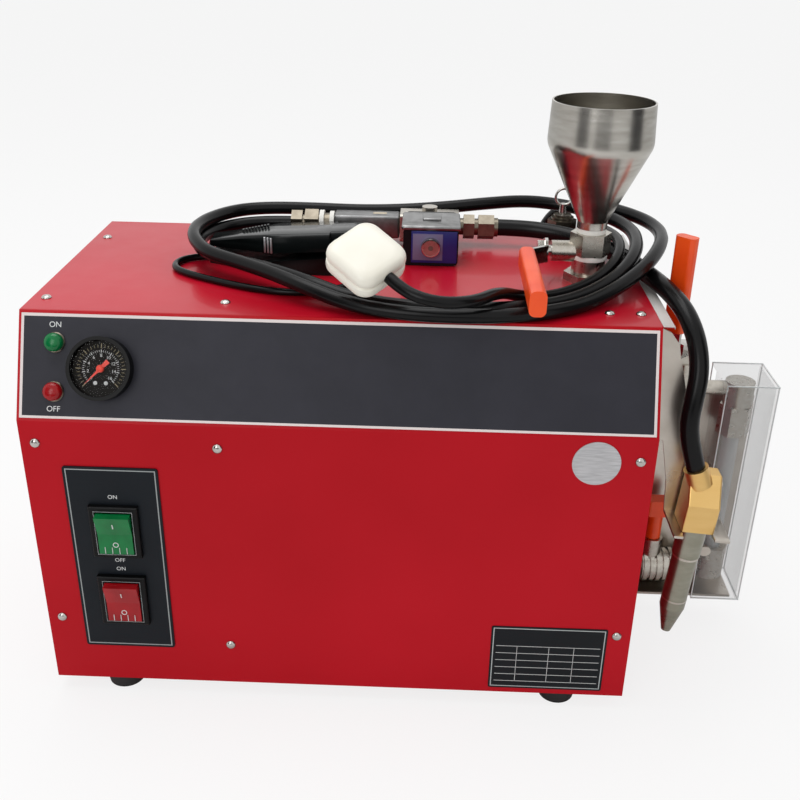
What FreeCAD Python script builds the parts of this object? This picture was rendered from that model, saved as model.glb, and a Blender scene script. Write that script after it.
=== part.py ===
"""Bench steam cleaner for jewelry: a boiler cabinet with its valves, leads, level gauge and hand nozzle.

Frame: X to the right, Y to the rear, Z up, in millimetres.  The origin is on the ground at the
middle of the cabinet, so the cabinet runs from -housing_long/2 to housing_long/2 along X.
"""
import FreeCAD, Part
import math
import os
import re
import Sketcher
from FreeCAD import Placement, Rotation, Vector

SIZES = [
    # cabinet
    ("housing_long", 420, "cabinet, left to right"),
    ("housing_deep", 240, "cabinet, front to rear"),
    ("housing_high", 280, "cabinet, without its feet"),
    ("sheet_thick", 1.5, "sheet steel of the cabinet"),
    ("band_rise", 66, "height of the sloped control band"),
    ("band_back", 31, "how far the band leans back"),
    ("lip_wide", 8, "rain lip along the top of the right side"),
    ("lip_start", 34, "front panel to the lip"),
    ("lip_long", 106, "length of the lip"),
    ("flange_high", 14, "upturned edge of the base pan"),
    ("foot_high", 12, "rubber foot"),
    ("foot_wide", 30, "rubber foot, diameter"),
    ("foot_side", 46.5, "cabinet side to foot centre"),
    ("foot_edge", 16.5, "cabinet front or rear to foot centre"),
    ("screw_wide", 7, "panel screw head"),
    ("screw_high", 1.8, "panel screw head"),
    ("screw_side", 10, "cabinet side to the outer screws"),
    ("screw_mid", 131.5, "left side to the middle screws"),
    ("screw_up", 197.5, "cabinet bottom to the upper screws"),
    ("screw_low", 54.8, "cabinet bottom to the lower outer screws"),
    ("screw_sill", 34.7, "cabinet bottom to the lower middle screw"),
    ("screw_front", 54, "front panel to the front screws of the top cover"),
    ("screw_back", 194, "front panel to the rear screw of the top cover"),
    ("screw_lone", 31, "right side to the lone screw of the top cover"),
    ("louvre_long", 60, "cooling slot in the rear panel"),
    ("louvre_high", 4, "cooling slot in the rear panel"),
    ("louvre_pitch", 12, "from one cooling slot to the next"),
    ("louvre_count", 6, "cooling slots in the rear panel"),
    # controls
    ("overlay_thick", 0.8, "printed sheet on the band"),
    ("overlay_edge", 2, "bare steel round the printed sheet"),
    ("gauge_side", 56, "left side to the pressure gauge"),
    ("gauge_up", 35.5, "fold to the pressure gauge, along the band"),
    ("bezel_wide", 42, "pressure gauge, outside"),
    ("bezel_high", 9, "bezel in front of the band"),
    ("bezel_wall", 2.4, "bezel wall"),
    ("dial_seat", 1.5, "floor of the bezel"),
    ("lens_in", 0.5, "rim of the bezel to its glass"),
    ("gauge_depth", 24, "gauge case behind the band"),
    ("dial_thick", 0.8, "dial plate"),
    ("needle_long", 14.5, "pivot to the tip of the needle"),
    ("needle_tail", 7, "pivot to the end of the tail"),
    ("needle_thick", 0.6, "needle plate"),
    ("needle_lift", 1, "dial to needle"),
    ("needle_pin", 1.6, "pin of the dial"),
    ("needle_hub", 5, "hub of the needle"),
    ("needle_zero", 135, "needle at rest, from straight up, degrees"),
    ("lens_thick", 1.5, "gauge glass"),
    ("lamp_side", 24.6, "left side to the lamps"),
    ("lamp_wide", 13.6, "lamp flange"),
    ("lamp_high", 7, "lamp lens in front of the overlay"),
    ("lamp_depth", 20, "lamp body behind the band"),
    ("green_up", 51.9, "fold to the green lamp, along the band"),
    ("red_up", 19.7, "fold to the red lamp, along the band"),
    ("plate_side", 25.7, "left side to the switch plate"),
    ("plate_wide", 64.7, "switch plate"),
    ("plate_low", 31, "cabinet bottom to the switch plate"),
    ("plate_high", 150, "switch plate"),
    ("plate_thick", 1, "switch plate"),
    ("plate_round", 2, "corner of the switch plate"),
    ("switch_side", 57.8, "left side to the middle of the switches"),
    ("green_high", 131.5, "cabinet bottom to the middle of the green switch"),
    ("red_high", 74, "cabinet bottom to the middle of the red switch"),
    ("frame_wide", 34, "switch frame"),
    ("frame_high", 41, "switch frame"),
    ("frame_thick", 4, "switch frame in front of its plate"),
    ("frame_round", 1.2, "edge of the switch frame"),
    ("well_wide", 25, "opening of the switch frame"),
    ("well_high", 34, "opening of the switch frame"),
    ("well_deep", 11, "opening of the switch frame, behind its plate"),
    ("switch_depth", 26, "switch body behind the panel"),
    ("switch_wall", 2, "switch body round the well"),
    ("rocker_gap", 0.6, "rocker to its frame, each side"),
    ("rocker_tilt", 8, "rocker either side of its middle, degrees"),
    ("rocker_keel", 5, "underside of a rocker behind its pivot"),
    ("rocker_pin", 2, "hinge pin of a rocker"),
    ("rating_in", 99.5, "right side to the far edge of the rating plate"),
    ("rating_low", 4.5, "cabinet bottom to the rating plate"),
    ("rating_wide", 83, "rating plate"),
    ("rating_high", 56, "rating plate"),
    ("disc_in", 38.7, "right side to the middle of the round disc"),
    ("disc_up", 195.6, "cabinet bottom to the round disc"),
    ("disc_wide", 32, "round disc"),
    ("label_thick", 0.5, "rating plate and disc"),
    ("label_round", 1.5, "corner of the rating plate"),
    # boiler
    ("tank_gap", 6.5, "boiler to the rear panel"),
    ("tank_right", 20, "right side to the boiler"),
    ("tank_side", 110, "left side to the boiler"),
    ("tank_rear", 15, "boiler axis behind the middle"),
    ("tank_up", 131, "cabinet bottom to the boiler axis"),
    ("tank_round", 14, "rolled edge of the boiler ends"),
    ("tank_wall", 2.5, "boiler sheet"),
    ("saddle_thick", 18, "boiler saddle"),
    ("saddle_wide", 120, "boiler saddle"),
    ("saddle_high", 62, "boiler saddle"),
    ("saddle_in", 45, "boiler end to the saddle"),
    ("heater_wide", 62, "heater flange"),
    ("heater_long", 42, "heater in front of the boiler end"),
    ("heater_flange", 8, "heater flange, thickness"),
    ("switch_tall", 34, "pressure switch on the boiler"),
    ("contactor_wide", 45, "contactor"),
    ("contactor_deep", 60, "contactor"),
    ("contactor_tall", 78, "contactor"),
    ("pipe_wide", 12, "steam pipe"),
    # filler
    ("fit_gap", 0.3, "running clearance between moving pieces"),
    ("seat_gap", 0.3, "piece set down on another"),
    ("filler_in", 37.3, "right side to the funnel axis"),
    ("filler_back", 3.5, "middle to the funnel axis, rearward"),
    ("funnel_rim", 70.3, "funnel, outside at the rim"),
    ("funnel_wide", 73, "funnel, outside at the shoulder"),
    ("funnel_wall", 1.2, "funnel sheet"),
    ("funnel_top", 126.5, "top cover to the rim"),
    ("funnel_shoulder", 98, "top cover to the shoulder"),
    ("funnel_neck", 39, "top cover to the neck"),
    ("funnel_round", 14, "rounding of the shoulder"),
    ("neck_wide", 21.4, "funnel neck, outside"),
    ("neck_bore", 14, "funnel neck, bore"),
    ("neck_high", 5, "straight stretch of the neck"),
    ("spigot_wide", 17, "threaded end of the funnel"),
    ("spigot_long", 13, "threaded end of the funnel"),
    ("valve_hex", 25.5, "filler valve, across flats"),
    ("valve_hex_low", 20, "top cover to the hexagon"),
    ("valve_hex_top", 35.5, "top cover to the top of the hexagon"),
    ("valve_wide", 24, "filler valve, round body"),
    ("valve_foot", 30, "filler valve, hexagon on the cover"),
    ("valve_foot_high", 6, "filler valve, hexagon on the cover"),
    ("stem_up", 21, "top cover to the lever stem"),
    ("boss_wide", 15, "stem boss"),
    ("boss_out", 27.5, "funnel axis to the end of the stem boss"),
    ("stem_wide", 8, "lever stem"),
    ("stem_in", 7, "lever stem inside its boss"),
    ("eye_wide", 18, "eye of the lever strap"),
    ("nut_small", 13, "lever nut, across flats"),
    ("crank_near", 7.5, "stem to the near bend of the lever"),
    ("crank_far", 18.5, "stem to the far bend of the lever"),
    ("strap_thick", 2.2, "valve lever strap"),
    ("strap_wide", 12, "valve lever strap"),
    ("lever_out", 32.5, "funnel axis to the outer face of the lever eye"),
    ("lever_nut", 5, "nut on the lever stem"),
    ("grip_out", 46.7, "funnel axis to the middle of the grip"),
    ("grip_thick", 11, "lever grip"),
    ("grip_high", 17, "lever grip"),
    ("grip_round", 4, "edge of the lever grip"),
    ("grip_near", 20, "stem to the near end of the grip"),
    ("grip_long", 93, "lever grip"),
    # safety valve
    ("safety_in", 47, "right side to the safety valve"),
    ("safety_back", 92, "middle to the safety valve, rearward"),
    ("safety_hex", 20, "safety valve, across flats"),
    ("safety_wide", 18, "safety valve, round body"),
    ("safety_high", 24, "safety valve body"),
    ("spindle_wide", 6, "safety valve spindle"),
    ("spindle_out", 8, "spindle above the safety valve"),
    ("ring_wide", 15, "pull ring"),
    ("ring_wire", 2, "pull ring"),
    # steam valve
    ("line_back", 80, "middle to the steam line, rearward"),
    ("line_up", 15, "top cover to the steam line"),
    ("body_mid", 34, "middle to the valve body"),
    ("body_long", 46, "valve body"),
    ("body_thick", 22, "valve body"),
    ("body_round", 2, "edge of the valve body"),
    ("coil_mid", 38, "middle to the coil"),
    ("coil_wide", 41, "coil"),
    ("coil_high", 29, "coil"),
    ("coil_back", 24, "middle to the coil, rearward"),
    ("coil_round", 4, "edge of the coil"),
    ("armature_wide", 15, "armature tube through the coil"),
    ("coil_nut_wide", 12, "nut on the coil"),
    ("coil_nut_high", 4.5, "nut on the coil"),
    ("union_hex", 17, "pipe unions, across flats"),
    ("union_right", 31, "valve body to the hose at the right"),
    ("union_pipe", 13, "bare pipe at the left, diameter"),
    ("union_left", 86, "valve body to the hose at the left"),
    # pedal
    ("pedal_side", 57, "middle to the shoulders of the pedal, leftward"),
    ("pedal_nose", 106, "middle to the nose of the pedal, leftward"),
    ("pedal_heel", 5, "middle to the heel of the pedal"),
    ("pedal_back", 30, "middle to the pedal's own middle, rearward"),
    ("pedal_wide", 70, "pedal"),
    ("pedal_nose_wide", 24, "blunt nose of the pedal"),
    ("pedal_base_nose", 5, "base at its nose"),
    ("pedal_base_heel", 15, "base at its heel"),
    ("treadle_gap", 8, "base to treadle at the nose"),
    ("treadle_thick", 6, "treadle at its nose"),
    ("treadle_heel", 33, "top cover to the top of the treadle's heel"),
    ("ear_thick", 5, "hinge ear of the pedal"),
    ("pin_wide", 5, "hinge pin of the pedal"),
    ("pin_up", 22, "top cover to the hinge pin"),
    ("pin_in", 8, "heel to the hinge pin"),
    ("rib_count", 6, "ribs on the treadle"),
    ("rib_pitch", 7, "from one rib to the next"),
    ("rib_high", 1.6, "rib on the treadle"),
    # plug
    ("plug_face", 42, "plug, square face"),
    ("plug_thick", 15, "plug"),
    ("plug_round", 9, "corner of the plug"),
    ("groove_deep", 2, "finger groove of the plug"),
    ("blade_long", 17, "plug blade"),
    ("blade_wide", 6.3, "plug blade"),
    ("blade_thick", 1.6, "plug blade"),
    ("blade_pitch", 15.8, "from one live blade to the other"),
    ("blade_up", 2, "middle of the plug to its live blades"),
    ("blade_turn", 30, "live blade from upright, degrees"),
    ("blade_down", 3.5, "middle of the plug to its earth blade"),
    # leads
    ("supply_wide", 10, "supply hose"),
    ("steam_wide", 13, "steam hose"),
    ("mains_wide", 8, "mains lead"),
    ("pedal_lead_wide", 5, "pedal lead"),
    ("gland_long", 24, "strain relief behind the rear panel"),
    ("gland_wall", 4, "cable gland round its lead"),
    ("mains_in", 60, "right side to the mains gland"),
    ("mains_down", 110, "top cover down to the mains gland"),
    ("lead_mid", 2, "middle to the pedal gland"),
    ("lead_down", 92, "top cover down to the pedal gland"),
    ("outlet_in", 58, "right side to the steam outlet"),
    ("outlet_down", 66, "top cover down to the steam outlet"),
    ("outlet_out", 24.5, "rear panel to the riser of the outlet"),
    ("outlet_rise", 37.5, "riser of the steam outlet"),
    ("outlet_hex", 19, "steam outlet, across flats"),
    ("mains_coil_wide", 88, "mains coil, across the middle of its turns"),
    ("mains_coil_in", 65.5, "right side to the middle of the mains coil"),
    ("mains_coil_out", 58, "rear panel to the middle of the mains coil"),
    ("pedal_coil_wide", 55, "pedal lead's coil, across the middle of its turns"),
    ("pedal_coil_left", 2, "middle to the middle of that coil, leftward"),
    ("pedal_coil_out", 40, "rear panel to the middle of that coil"),
    # level gauge
    ("glass_out", 84.5, "right side to the gauge glass"),
    ("glass_ahead", 4, "middle to the gauge glass, forward"),
    ("glass_wide", 13, "gauge glass"),
    ("glass_wall", 2, "gauge glass"),
    ("upper_up", 200, "cabinet bottom to the upper cock"),
    ("lower_up", 38.5, "cabinet bottom to the lower cock"),
    ("cock_pipe", 11, "pipe of a cock"),
    ("cock_wide", 22, "body of a cock at the glass"),
    ("cock_cap", 6, "axis of a cock to its closed end"),
    ("cock_neck", 13, "axis of a cock to its nut"),
    ("nut_hex", 22, "gland nut on the glass, across flats"),
    ("nut_upper", 24, "upper gland nut"),
    ("nut_lower", 9, "lower gland nut"),
    ("glass_in", 7, "glass inside each nut"),
    ("upper_stem", 40, "right side to the upper stem"),
    ("upper_boss", 18, "boss of the upper stem"),
    ("upper_boss_high", 21, "pipe axis to the top of the boss"),
    ("upper_gland", 7, "gland nut of the upper stem"),
    ("upper_hex", 15, "gland nut of the upper stem, across flats"),
    ("lever_reach", 19, "upper stem to its upright strap"),
    ("lever_turn", 43, "upper lever from the left toward the front, degrees"),
    ("upper_strap", 2.5, "upper lever strap"),
    ("upper_strap_wide", 12, "upper lever strap"),
    ("paddle_wide", 16, "upper grip"),
    ("paddle_thick", 9, "upper grip"),
    ("paddle_low", 250, "cabinet bottom to the upper grip"),
    ("paddle_high", 70, "upper grip"),
    ("paddle_round", 3.5, "edge of the upper grip"),
    ("union_out", 29, "right side to the ridged union"),
    ("union_long", 26, "ridged union"),
    ("union_wide", 28, "ridged union"),
    ("union_ridges", 5, "ridges of the union"),
    ("ridge_deep", 1.5, "groove between two ridges"),
    ("lower_stem", 36, "right side to the lower stem"),
    ("lower_boss", 16, "boss of the lower stem"),
    ("lower_boss_high", 27, "pipe axis to the top of the lower boss"),
    ("hub_wide", 12, "hub of the butterfly handle"),
    ("wing_long", 17, "butterfly handle"),
    ("wing_thick", 12, "butterfly handle"),
    ("wing_high", 14, "butterfly handle"),
    ("wing_up", 87, "cabinet bottom to the wings"),
    ("wing_round", 3, "edge of the butterfly handle"),
    ("bracket_back", 11, "middle to the gauge bracket, rearward"),
    ("bracket_thick", 2, "gauge bracket"),
    ("bracket_long", 102, "gauge bracket"),
    ("bracket_low", 18, "cabinet bottom to the bracket"),
    ("bracket_top", 187, "cabinet bottom to the top of the bracket"),
    ("bracket_tab", 22, "tab of the bracket on the cabinet"),
    ("guard_out", 70, "right side to the guard"),
    ("guard_wide", 39, "guard"),
    ("guard_ahead", 20, "middle to the guard, forward"),
    ("guard_long", 45, "guard, front to rear"),
    ("guard_thick", 2, "acrylic sheet"),
    ("guard_low", 16.5, "cabinet bottom to the guard"),
    ("guard_high", 192, "guard"),
    ("notch_gap", 1.5, "guard round the pipes"),
    ("standoff_wide", 4, "stand-off of the guard"),
    ("standoff_in", 4.5, "guard side to its stand-offs"),
    ("standoff_up", 64, "cabinet bottom to the lower stand-off"),
    ("standoff_pitch", 62, "from one stand-off to the other"),
    ("standoff_head", 9, "screw head of a stand-off"),
    # hand nozzle
    ("nozzle_out", 38.5, "right side to the nozzle axis at its rest"),
    ("nozzle_deep", 24.5, "front panel to the nozzle axis"),
    ("nozzle_down", 144, "top cover down to the rest"),
    ("nozzle_lean", 4.65, "nozzle from the vertical, degrees"),
    ("block_wide", 22.5, "brass block"),
    ("block_deep", 25, "brass block"),
    ("block_high", 40, "brass block"),
    ("block_chest", 21, "upright front of the block"),
    ("block_slope", 12, "how far the front leans back above it"),
    ("block_round", 1.5, "edge of the block"),
    ("ferrule_rise", 32, "rest to the root of the hose ferrule"),
    ("ferrule_wide", 17, "hose ferrule"),
    ("ferrule_long", 14, "root to the end of the hose ferrule"),
    ("ferrule_lean", 20, "ferrule from the vertical, degrees"),
    ("tube_wide", 20, "nozzle tube at the rest"),
    ("tube_slim", 18, "nozzle tube further down"),
    ("tube_collar", 24, "rest to the step of the tube"),
    ("tube_long", 70, "rest to the taper of the tube"),
    ("tip_long", 22, "taper of the tube"),
    ("tip_wide", 7, "end of the tube"),
    ("jet_wide", 2.4, "steam jet"),
    ("holder_thick", 2, "nozzle holder"),
    ("rest_left", 17.5, "nozzle axis to the left of the rest plate"),
    ("rest_right", 21.5, "nozzle axis to the right of the rest plate"),
    ("rest_front", 14.5, "nozzle axis to the front of the rest plate"),
    ("rest_rear", 17.5, "nozzle axis to the rear of the rest plate"),
    ("slot_gap", 0.6, "nozzle tube to its slot, each side"),
    ("holder_down", 3, "top cover down to the top of the holder"),
    ("holder_flange", 77, "flange of the holder, top to bottom"),
    ("holder_tab", 26, "flange of the holder on the cabinet"),
]

doc = FreeCAD.newDocument("steam_cleaner")
sheet = doc.addObject("Spreadsheet::Sheet", "Sizes")
NAMES = set()


class Values:
    """The sheet's numbers, for the few shapes and places that are worked out here."""


d = Values()
for row, (alias, number, note) in enumerate(SIZES, start=1):
    sheet.set(f"A{row}", alias)
    sheet.set(f"B{row}", str(number))
    sheet.set(f"C{row}", note)
    sheet.setAlias(f"B{row}", alias)
    NAMES.add(alias)
doc.recompute()
for alias in NAMES:
    setattr(d, alias, float(sheet.get(alias)))

# Places that many pieces share, as expressions.
LEFT = "(-housing_long / 2)"
RIGHT = "(housing_long / 2)"
FRONT = "(-housing_deep / 2)"
REAR = "(housing_deep / 2)"
FLOOR = "foot_high"
TOP = "(foot_high + housing_high)"
FOLD = "(foot_high + housing_high - band_rise)"
SLANT = "sqrt(band_rise * band_rise + band_back * band_back)"

front = -d.housing_deep / 2
rear = d.housing_deep / 2
top = d.foot_high + d.housing_high

UP = Rotation()
RIGHTWARD = Rotation(Vector(0, 1, 0), 90)
LEFTWARD = Rotation(Vector(0, 1, 0), -90)
FORWARD = Rotation(Vector(1, 0, 0), 90)
REARWARD = Rotation(Vector(1, 0, 0), -90)
BAND = Rotation(Vector(1, 0, 0), math.degrees(math.atan2(d.band_rise, d.band_back)))

parts = []


# ---------------------------------------------------------------- helpers

def bound(text):
    """An expression with each size's name tied to the sheet."""
    def tied(word):
        return "Sizes." + word.group() if word.group() in NAMES else word.group()
    return re.sub(r"[a-z_]+", tied, str(text))


def put(piece, x=0, y=0, z=0, turn=UP):
    """Place a piece; x, y and z are expressions."""
    piece.Placement = Placement(Vector(0, 0, 0), turn)
    for axis, text in zip("xyz", (x, y, z)):
        piece.setExpression("Placement.Base." + axis, bound(text))
    return piece


def sized(kind, values):
    """A Part primitive with its properties tied to the sheet."""
    piece = doc.addObject("Part::" + kind, kind)
    for name, text in values.items():
        piece.setExpression(name, bound(text))
    return piece


def box(long, deep, high, x=0, y=0, z=0, turn=UP):
    return put(sized("Box", {"Length": long, "Width": deep, "Height": high}), x, y, z, turn)


def rod(wide, high, x=0, y=0, z=0, turn=UP):
    return put(sized("Cylinder", {"Radius": f"({wide}) / 2", "Height": high}), x, y, z, turn)


def taper(wide, narrow, high, x=0, y=0, z=0, turn=UP):
    values = {"Radius1": f"({wide}) / 2", "Radius2": f"({narrow}) / 2", "Height": high}
    return put(sized("Cone", values), x, y, z, turn)


def hexagon(across, high, x=0, y=0, z=0, turn=UP):
    piece = sized("Prism", {"Circumradius": f"({across}) / 2 / cos(30)", "Height": high})
    piece.Polygon = 6
    return put(piece, x, y, z, turn)


def fuse(*pieces):
    joined = doc.addObject("Part::MultiFuse", "Fuse")
    joined.Shapes = list(pieces)
    joined.Refine = True
    return joined


def cut(base, *tools):
    piece = doc.addObject("Part::Cut", "Cut")
    piece.Base = base
    piece.Tool = tools[0] if len(tools) == 1 else fuse(*tools)
    return piece


def common(first, second):
    piece = doc.addObject("Part::Common", "Common")
    piece.Base = first
    piece.Tool = second
    return piece


def gather(*pieces):
    """Several loose solids that are one sub-part."""
    group = doc.addObject("Part::Compound", "Group")
    group.Links = list(pieces)
    return group


def rounded(piece, radius, chosen):
    """Fillet the edges that chosen() picks."""
    doc.recompute()
    edges = [k for k, edge in enumerate(piece.Shape.Edges, start=1) if chosen(edge)]
    fillet = doc.addObject("Part::Fillet", "Fillet")
    fillet.Base = piece
    fillet.Edges = [(k, radius, radius) for k in edges]
    return fillet


def along(axis):
    """Picks straight edges parallel to an axis."""
    def chosen(edge):
        line = edge.Vertexes[-1].Point - edge.Vertexes[0].Point
        return edge.Curve.TypeId == "Part::GeomLine" and line.cross(axis).Length < 1e-6
    return chosen


def sketch(body, plane, points):
    """A closed outline in one of the body's own planes, each corner tied to the sheet."""
    drawing = body.newObject("Sketcher::SketchObject", "Outline")
    drawing.AttachmentSupport = [([f for f in body.Origin.OriginFeatures if f.Role == plane][0], "")]
    drawing.MapMode = "FlatFace"
    count = len(points)
    corners = [Vector(math.cos(math.tau * k / count), math.sin(math.tau * k / count), 0) for k in range(count)]
    for k in range(count):
        drawing.addGeometry(Part.LineSegment(corners[k], corners[(k + 1) % count]))
    for k in range(count):
        drawing.addConstraint(Sketcher.Constraint("Coincident", k, 2, (k + 1) % count, 1))
    for k, point in enumerate(points):
        for kind, text in zip(("DistanceX", "DistanceY"), point):
            number = drawing.addConstraint(Sketcher.Constraint(kind, -1, 1, k, 1, 1.0))
            drawing.setExpression(f"Constraints[{number}]", bound(text))
    return drawing


def slab(plane, points, thick, x=0, y=0, z=0, turn=UP, centred=False):
    """An outline padded along its plane's normal."""
    body = doc.addObject("PartDesign::Body", "Body")
    pad = body.newObject("PartDesign::Pad", "Pad")
    pad.Profile = sketch(body, plane, points)
    pad.Midplane = centred
    pad.setExpression("Length", bound(thick))
    body.Tip = pad
    return put(body, x, y, z, turn)


def turned(points, x=0, y=0, z=0, turn=UP):
    """A lathe profile of (radius, height) points turned about Z."""
    body = doc.addObject("PartDesign::Body", "Body")
    drawing = sketch(body, "XZ_Plane", points)
    spin = body.newObject("PartDesign::Revolution", "Revolution")
    spin.Profile = drawing
    spin.ReferenceAxis = (drawing, ["V_Axis"])
    spin.Angle = 360
    body.Tip = spin
    return put(body, x, y, z, turn)


def on_band(x, up, out=0):
    """A place on the sloped band: x from the left side, up from the fold, out from its face."""
    y = f"{FRONT} + ({up}) * band_back / {SLANT} - ({out}) * band_rise / {SLANT}"
    z = f"{FOLD} + ({up}) * band_rise / {SLANT} + ({out}) * band_back / {SLANT}"
    return f"{LEFT} + {x}", y, z


def finish(piece, name):
    """Name a sub-part; its name is its file's name."""
    piece.Label = name
    parts.append(piece)
    return piece


def solid_feature(shape, name):
    piece = doc.addObject("Part::Feature", "Solid")
    piece.Shape = shape
    piece.Placement = Placement()
    return finish(piece, name)


# ---------------------------------------------------------------- cabinet

CASE_WIDE = "(bezel_wide - 6)"
SHANK_WIDE = "(lamp_wide - 5)"
CUP_WIDE = "(well_wide + 2 * switch_wall)"
CUP_HIGH = "(well_high + 2 * switch_wall)"
FILLER_X = f"{RIGHT} - filler_in"
FILLER_Y = "filler_back"
SAFETY_X = f"{RIGHT} - safety_in"
SAFETY_Y = "safety_back"
GLASS_X = f"{RIGHT} + glass_out"
GLASS_Y = "-glass_ahead"
OUTLET_X = f"{RIGHT} - outlet_in"
OUTLET_Z = f"{TOP} - outlet_down"
MAINS_PLACE = (f"{RIGHT} - mains_in", f"{TOP} - mains_down")
LEAD_PLACE = ("lead_mid", f"{TOP} - lead_down")
TANK_WIDE = "(housing_deep - 2 * (sheet_thick + tank_rear + tank_gap))"
TANK_LONG = "(housing_long - tank_side - tank_right)"
SHANK_GAP = "(gland_wall + 2 * fit_gap)"
TANK_Z = f"{FLOOR} + tank_up"
LOOSE_PIPE = "(pipe_wide + 2 * fit_gap)"
# The cover's inner face: y at the fold and at the top cover.
INNER_FOLD = f"{FOLD} - sheet_thick * ({SLANT} - band_rise) / band_back"
BAND_THICK = f"(sheet_thick * {SLANT} / band_rise)"


def band_holes(thick):
    """The gauge and lamp holes through the band and its printed sheet."""
    gauge = rod(f"{CASE_WIDE} + 2 * fit_gap", thick, *on_band("gauge_side", "gauge_up", f"-({thick}) / 2"), BAND)
    green = rod(f"{SHANK_WIDE} + 2 * fit_gap", thick, *on_band("lamp_side", "green_up", f"-({thick}) / 2"), BAND)
    red = rod(f"{SHANK_WIDE} + 2 * fit_gap", thick, *on_band("lamp_side", "red_up", f"-({thick}) / 2"), BAND)
    return [gauge, green, red]


def switch_holes(thick):
    """The two switch cut-outs through the panel and its plate."""
    wide = f"{CUP_WIDE} + 2 * fit_gap"
    high = f"{CUP_HIGH} + 2 * fit_gap"
    x = f"{LEFT} + switch_side - ({wide}) / 2"
    y = f"{FRONT} - ({thick}) / 2"
    return [box(wide, thick, high, x, y, f"{FLOOR} + {up} - ({high}) / 2") for up in ("green_high", "red_high")]


def front_cover():
    outline = [
        (FRONT, FLOOR), (FRONT, FOLD), (f"{FRONT} + band_back", TOP),
        (f"{FRONT} + band_back + {BAND_THICK}", TOP),
        (f"{FRONT} + sheet_thick", INNER_FOLD), (f"{FRONT} + sheet_thick", FLOOR),
    ]
    cover = slab("YZ_Plane", outline, "housing_long", x=LEFT)
    finish(cut(cover, *band_holes("8 * sheet_thick"), *switch_holes("8 * sheet_thick")), "front_cover")


def side_panel(name, x, holes):
    outline = [
        (f"{FRONT} + sheet_thick", FLOOR), (f"{FRONT} + sheet_thick", INNER_FOLD),
        (f"{FRONT} + (band_rise - sheet_thick) * band_back / band_rise + {BAND_THICK}", f"{TOP} - sheet_thick"),
        (f"{REAR} - sheet_thick", f"{TOP} - sheet_thick"), (f"{REAR} - sheet_thick", FLOOR),
    ]
    panel = slab("YZ_Plane", outline, "sheet_thick", x=x)
    finish(cut(panel, *holes) if holes else panel, name)


def cock_holes():
    x = f"{RIGHT} - 2 * sheet_thick"
    wide = "cock_pipe + 2 * fit_gap"
    return [rod(wide, "4 * sheet_thick", x, GLASS_Y, f"{FLOOR} + {up}", RIGHTWARD) for up in ("upper_up", "lower_up")]


def top_cover():
    start = f"{FRONT} + band_back + {BAND_THICK}"
    plate = box("housing_long", f"{REAR} - sheet_thick - ({start})", "sheet_thick", LEFT, start, f"{TOP} - sheet_thick")
    lip = box("lip_wide", "lip_long", "sheet_thick", RIGHT, f"{FRONT} + lip_start", f"{TOP} - sheet_thick")
    filler = rod(LOOSE_PIPE, "4 * sheet_thick", FILLER_X, FILLER_Y, f"{TOP} - 3 * sheet_thick")
    safety = rod(LOOSE_PIPE, "4 * sheet_thick", SAFETY_X, SAFETY_Y, f"{TOP} - 3 * sheet_thick")
    finish(cut(fuse(plate, lip), filler, safety), "top_cover")


def rear_panel():
    plate = box("housing_long", "sheet_thick", "housing_high", LEFT, f"{REAR} - sheet_thick", FLOOR)
    y = f"{REAR} - 3 * sheet_thick"
    thick = "6 * sheet_thick"
    mains = rod(f"mains_wide + {SHANK_GAP}", thick, MAINS_PLACE[0], y, MAINS_PLACE[1], REARWARD)
    pedal = rod(f"pedal_lead_wide + {SHANK_GAP}", thick, LEAD_PLACE[0], y, LEAD_PLACE[1], REARWARD)
    outlet = rod(LOOSE_PIPE, thick, OUTLET_X, y, OUTLET_Z, REARWARD)
    slots = []
    for k in range(int(d.louvre_count)):
        z = f"{FLOOR} + 3 * louvre_pitch + {k} * louvre_pitch"
        for side in (-1, 1):
            x = f"{side} * housing_long / 4 - louvre_long / 2"
            slots.append(box("louvre_long", thick, "louvre_high", x, y, z))
    finish(cut(plate, mains, pedal, outlet, *slots), "rear_panel")


def base_pan():
    x = f"{LEFT} + sheet_thick"
    y = f"{FRONT} + sheet_thick"
    outer = box("housing_long - 2 * sheet_thick", "housing_deep - 2 * sheet_thick", "flange_high", x, y, FLOOR)
    inner = box("housing_long - 4 * sheet_thick", "housing_deep - 4 * sheet_thick", "flange_high",
                f"{x} + sheet_thick", f"{y} + sheet_thick", f"{FLOOR} + sheet_thick")
    finish(cut(outer, inner), "base_pan")


def feet():
    pieces = []
    for x in (f"{LEFT} + foot_side", f"{RIGHT} - foot_side"):
        for y in (f"{FRONT} + foot_edge", f"{REAR} - foot_edge"):
            pieces.append(taper("foot_wide - 4", "foot_wide", "foot_high", x, y, 0))
    finish(gather(*pieces), "feet")


def screw(x, y, z, turn):
    return taper("screw_wide", "screw_wide * 0.6", "screw_high", x, y, z, turn)


def panel_screws():
    near = f"{LEFT} + screw_side"
    mid = f"{LEFT} + screw_mid"
    far = f"{RIGHT} - screw_side"
    ahead = [(near, "screw_up"), (mid, "screw_up"), (far, "screw_up"),
             (near, "screw_low"), (mid, "screw_sill"), (far, "screw_low")]
    pieces = [screw(x, FRONT, f"{FLOOR} + {up}", FORWARD) for x, up in ahead]
    pieces += [screw(x, REAR, f"{FLOOR} + {up}", REARWARD) for x, up in ahead]
    above = [(near, "screw_front"), (mid, "screw_front"), (far, "screw_front"), (near, "screw_back"),
             (f"{RIGHT} - screw_lone", "screw_front")]
    pieces += [screw(x, f"{FRONT} + {y}", TOP, UP) for x, y in above]
    finish(gather(*pieces), "panel_screws")


# ---------------------------------------------------------------- controls

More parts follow.
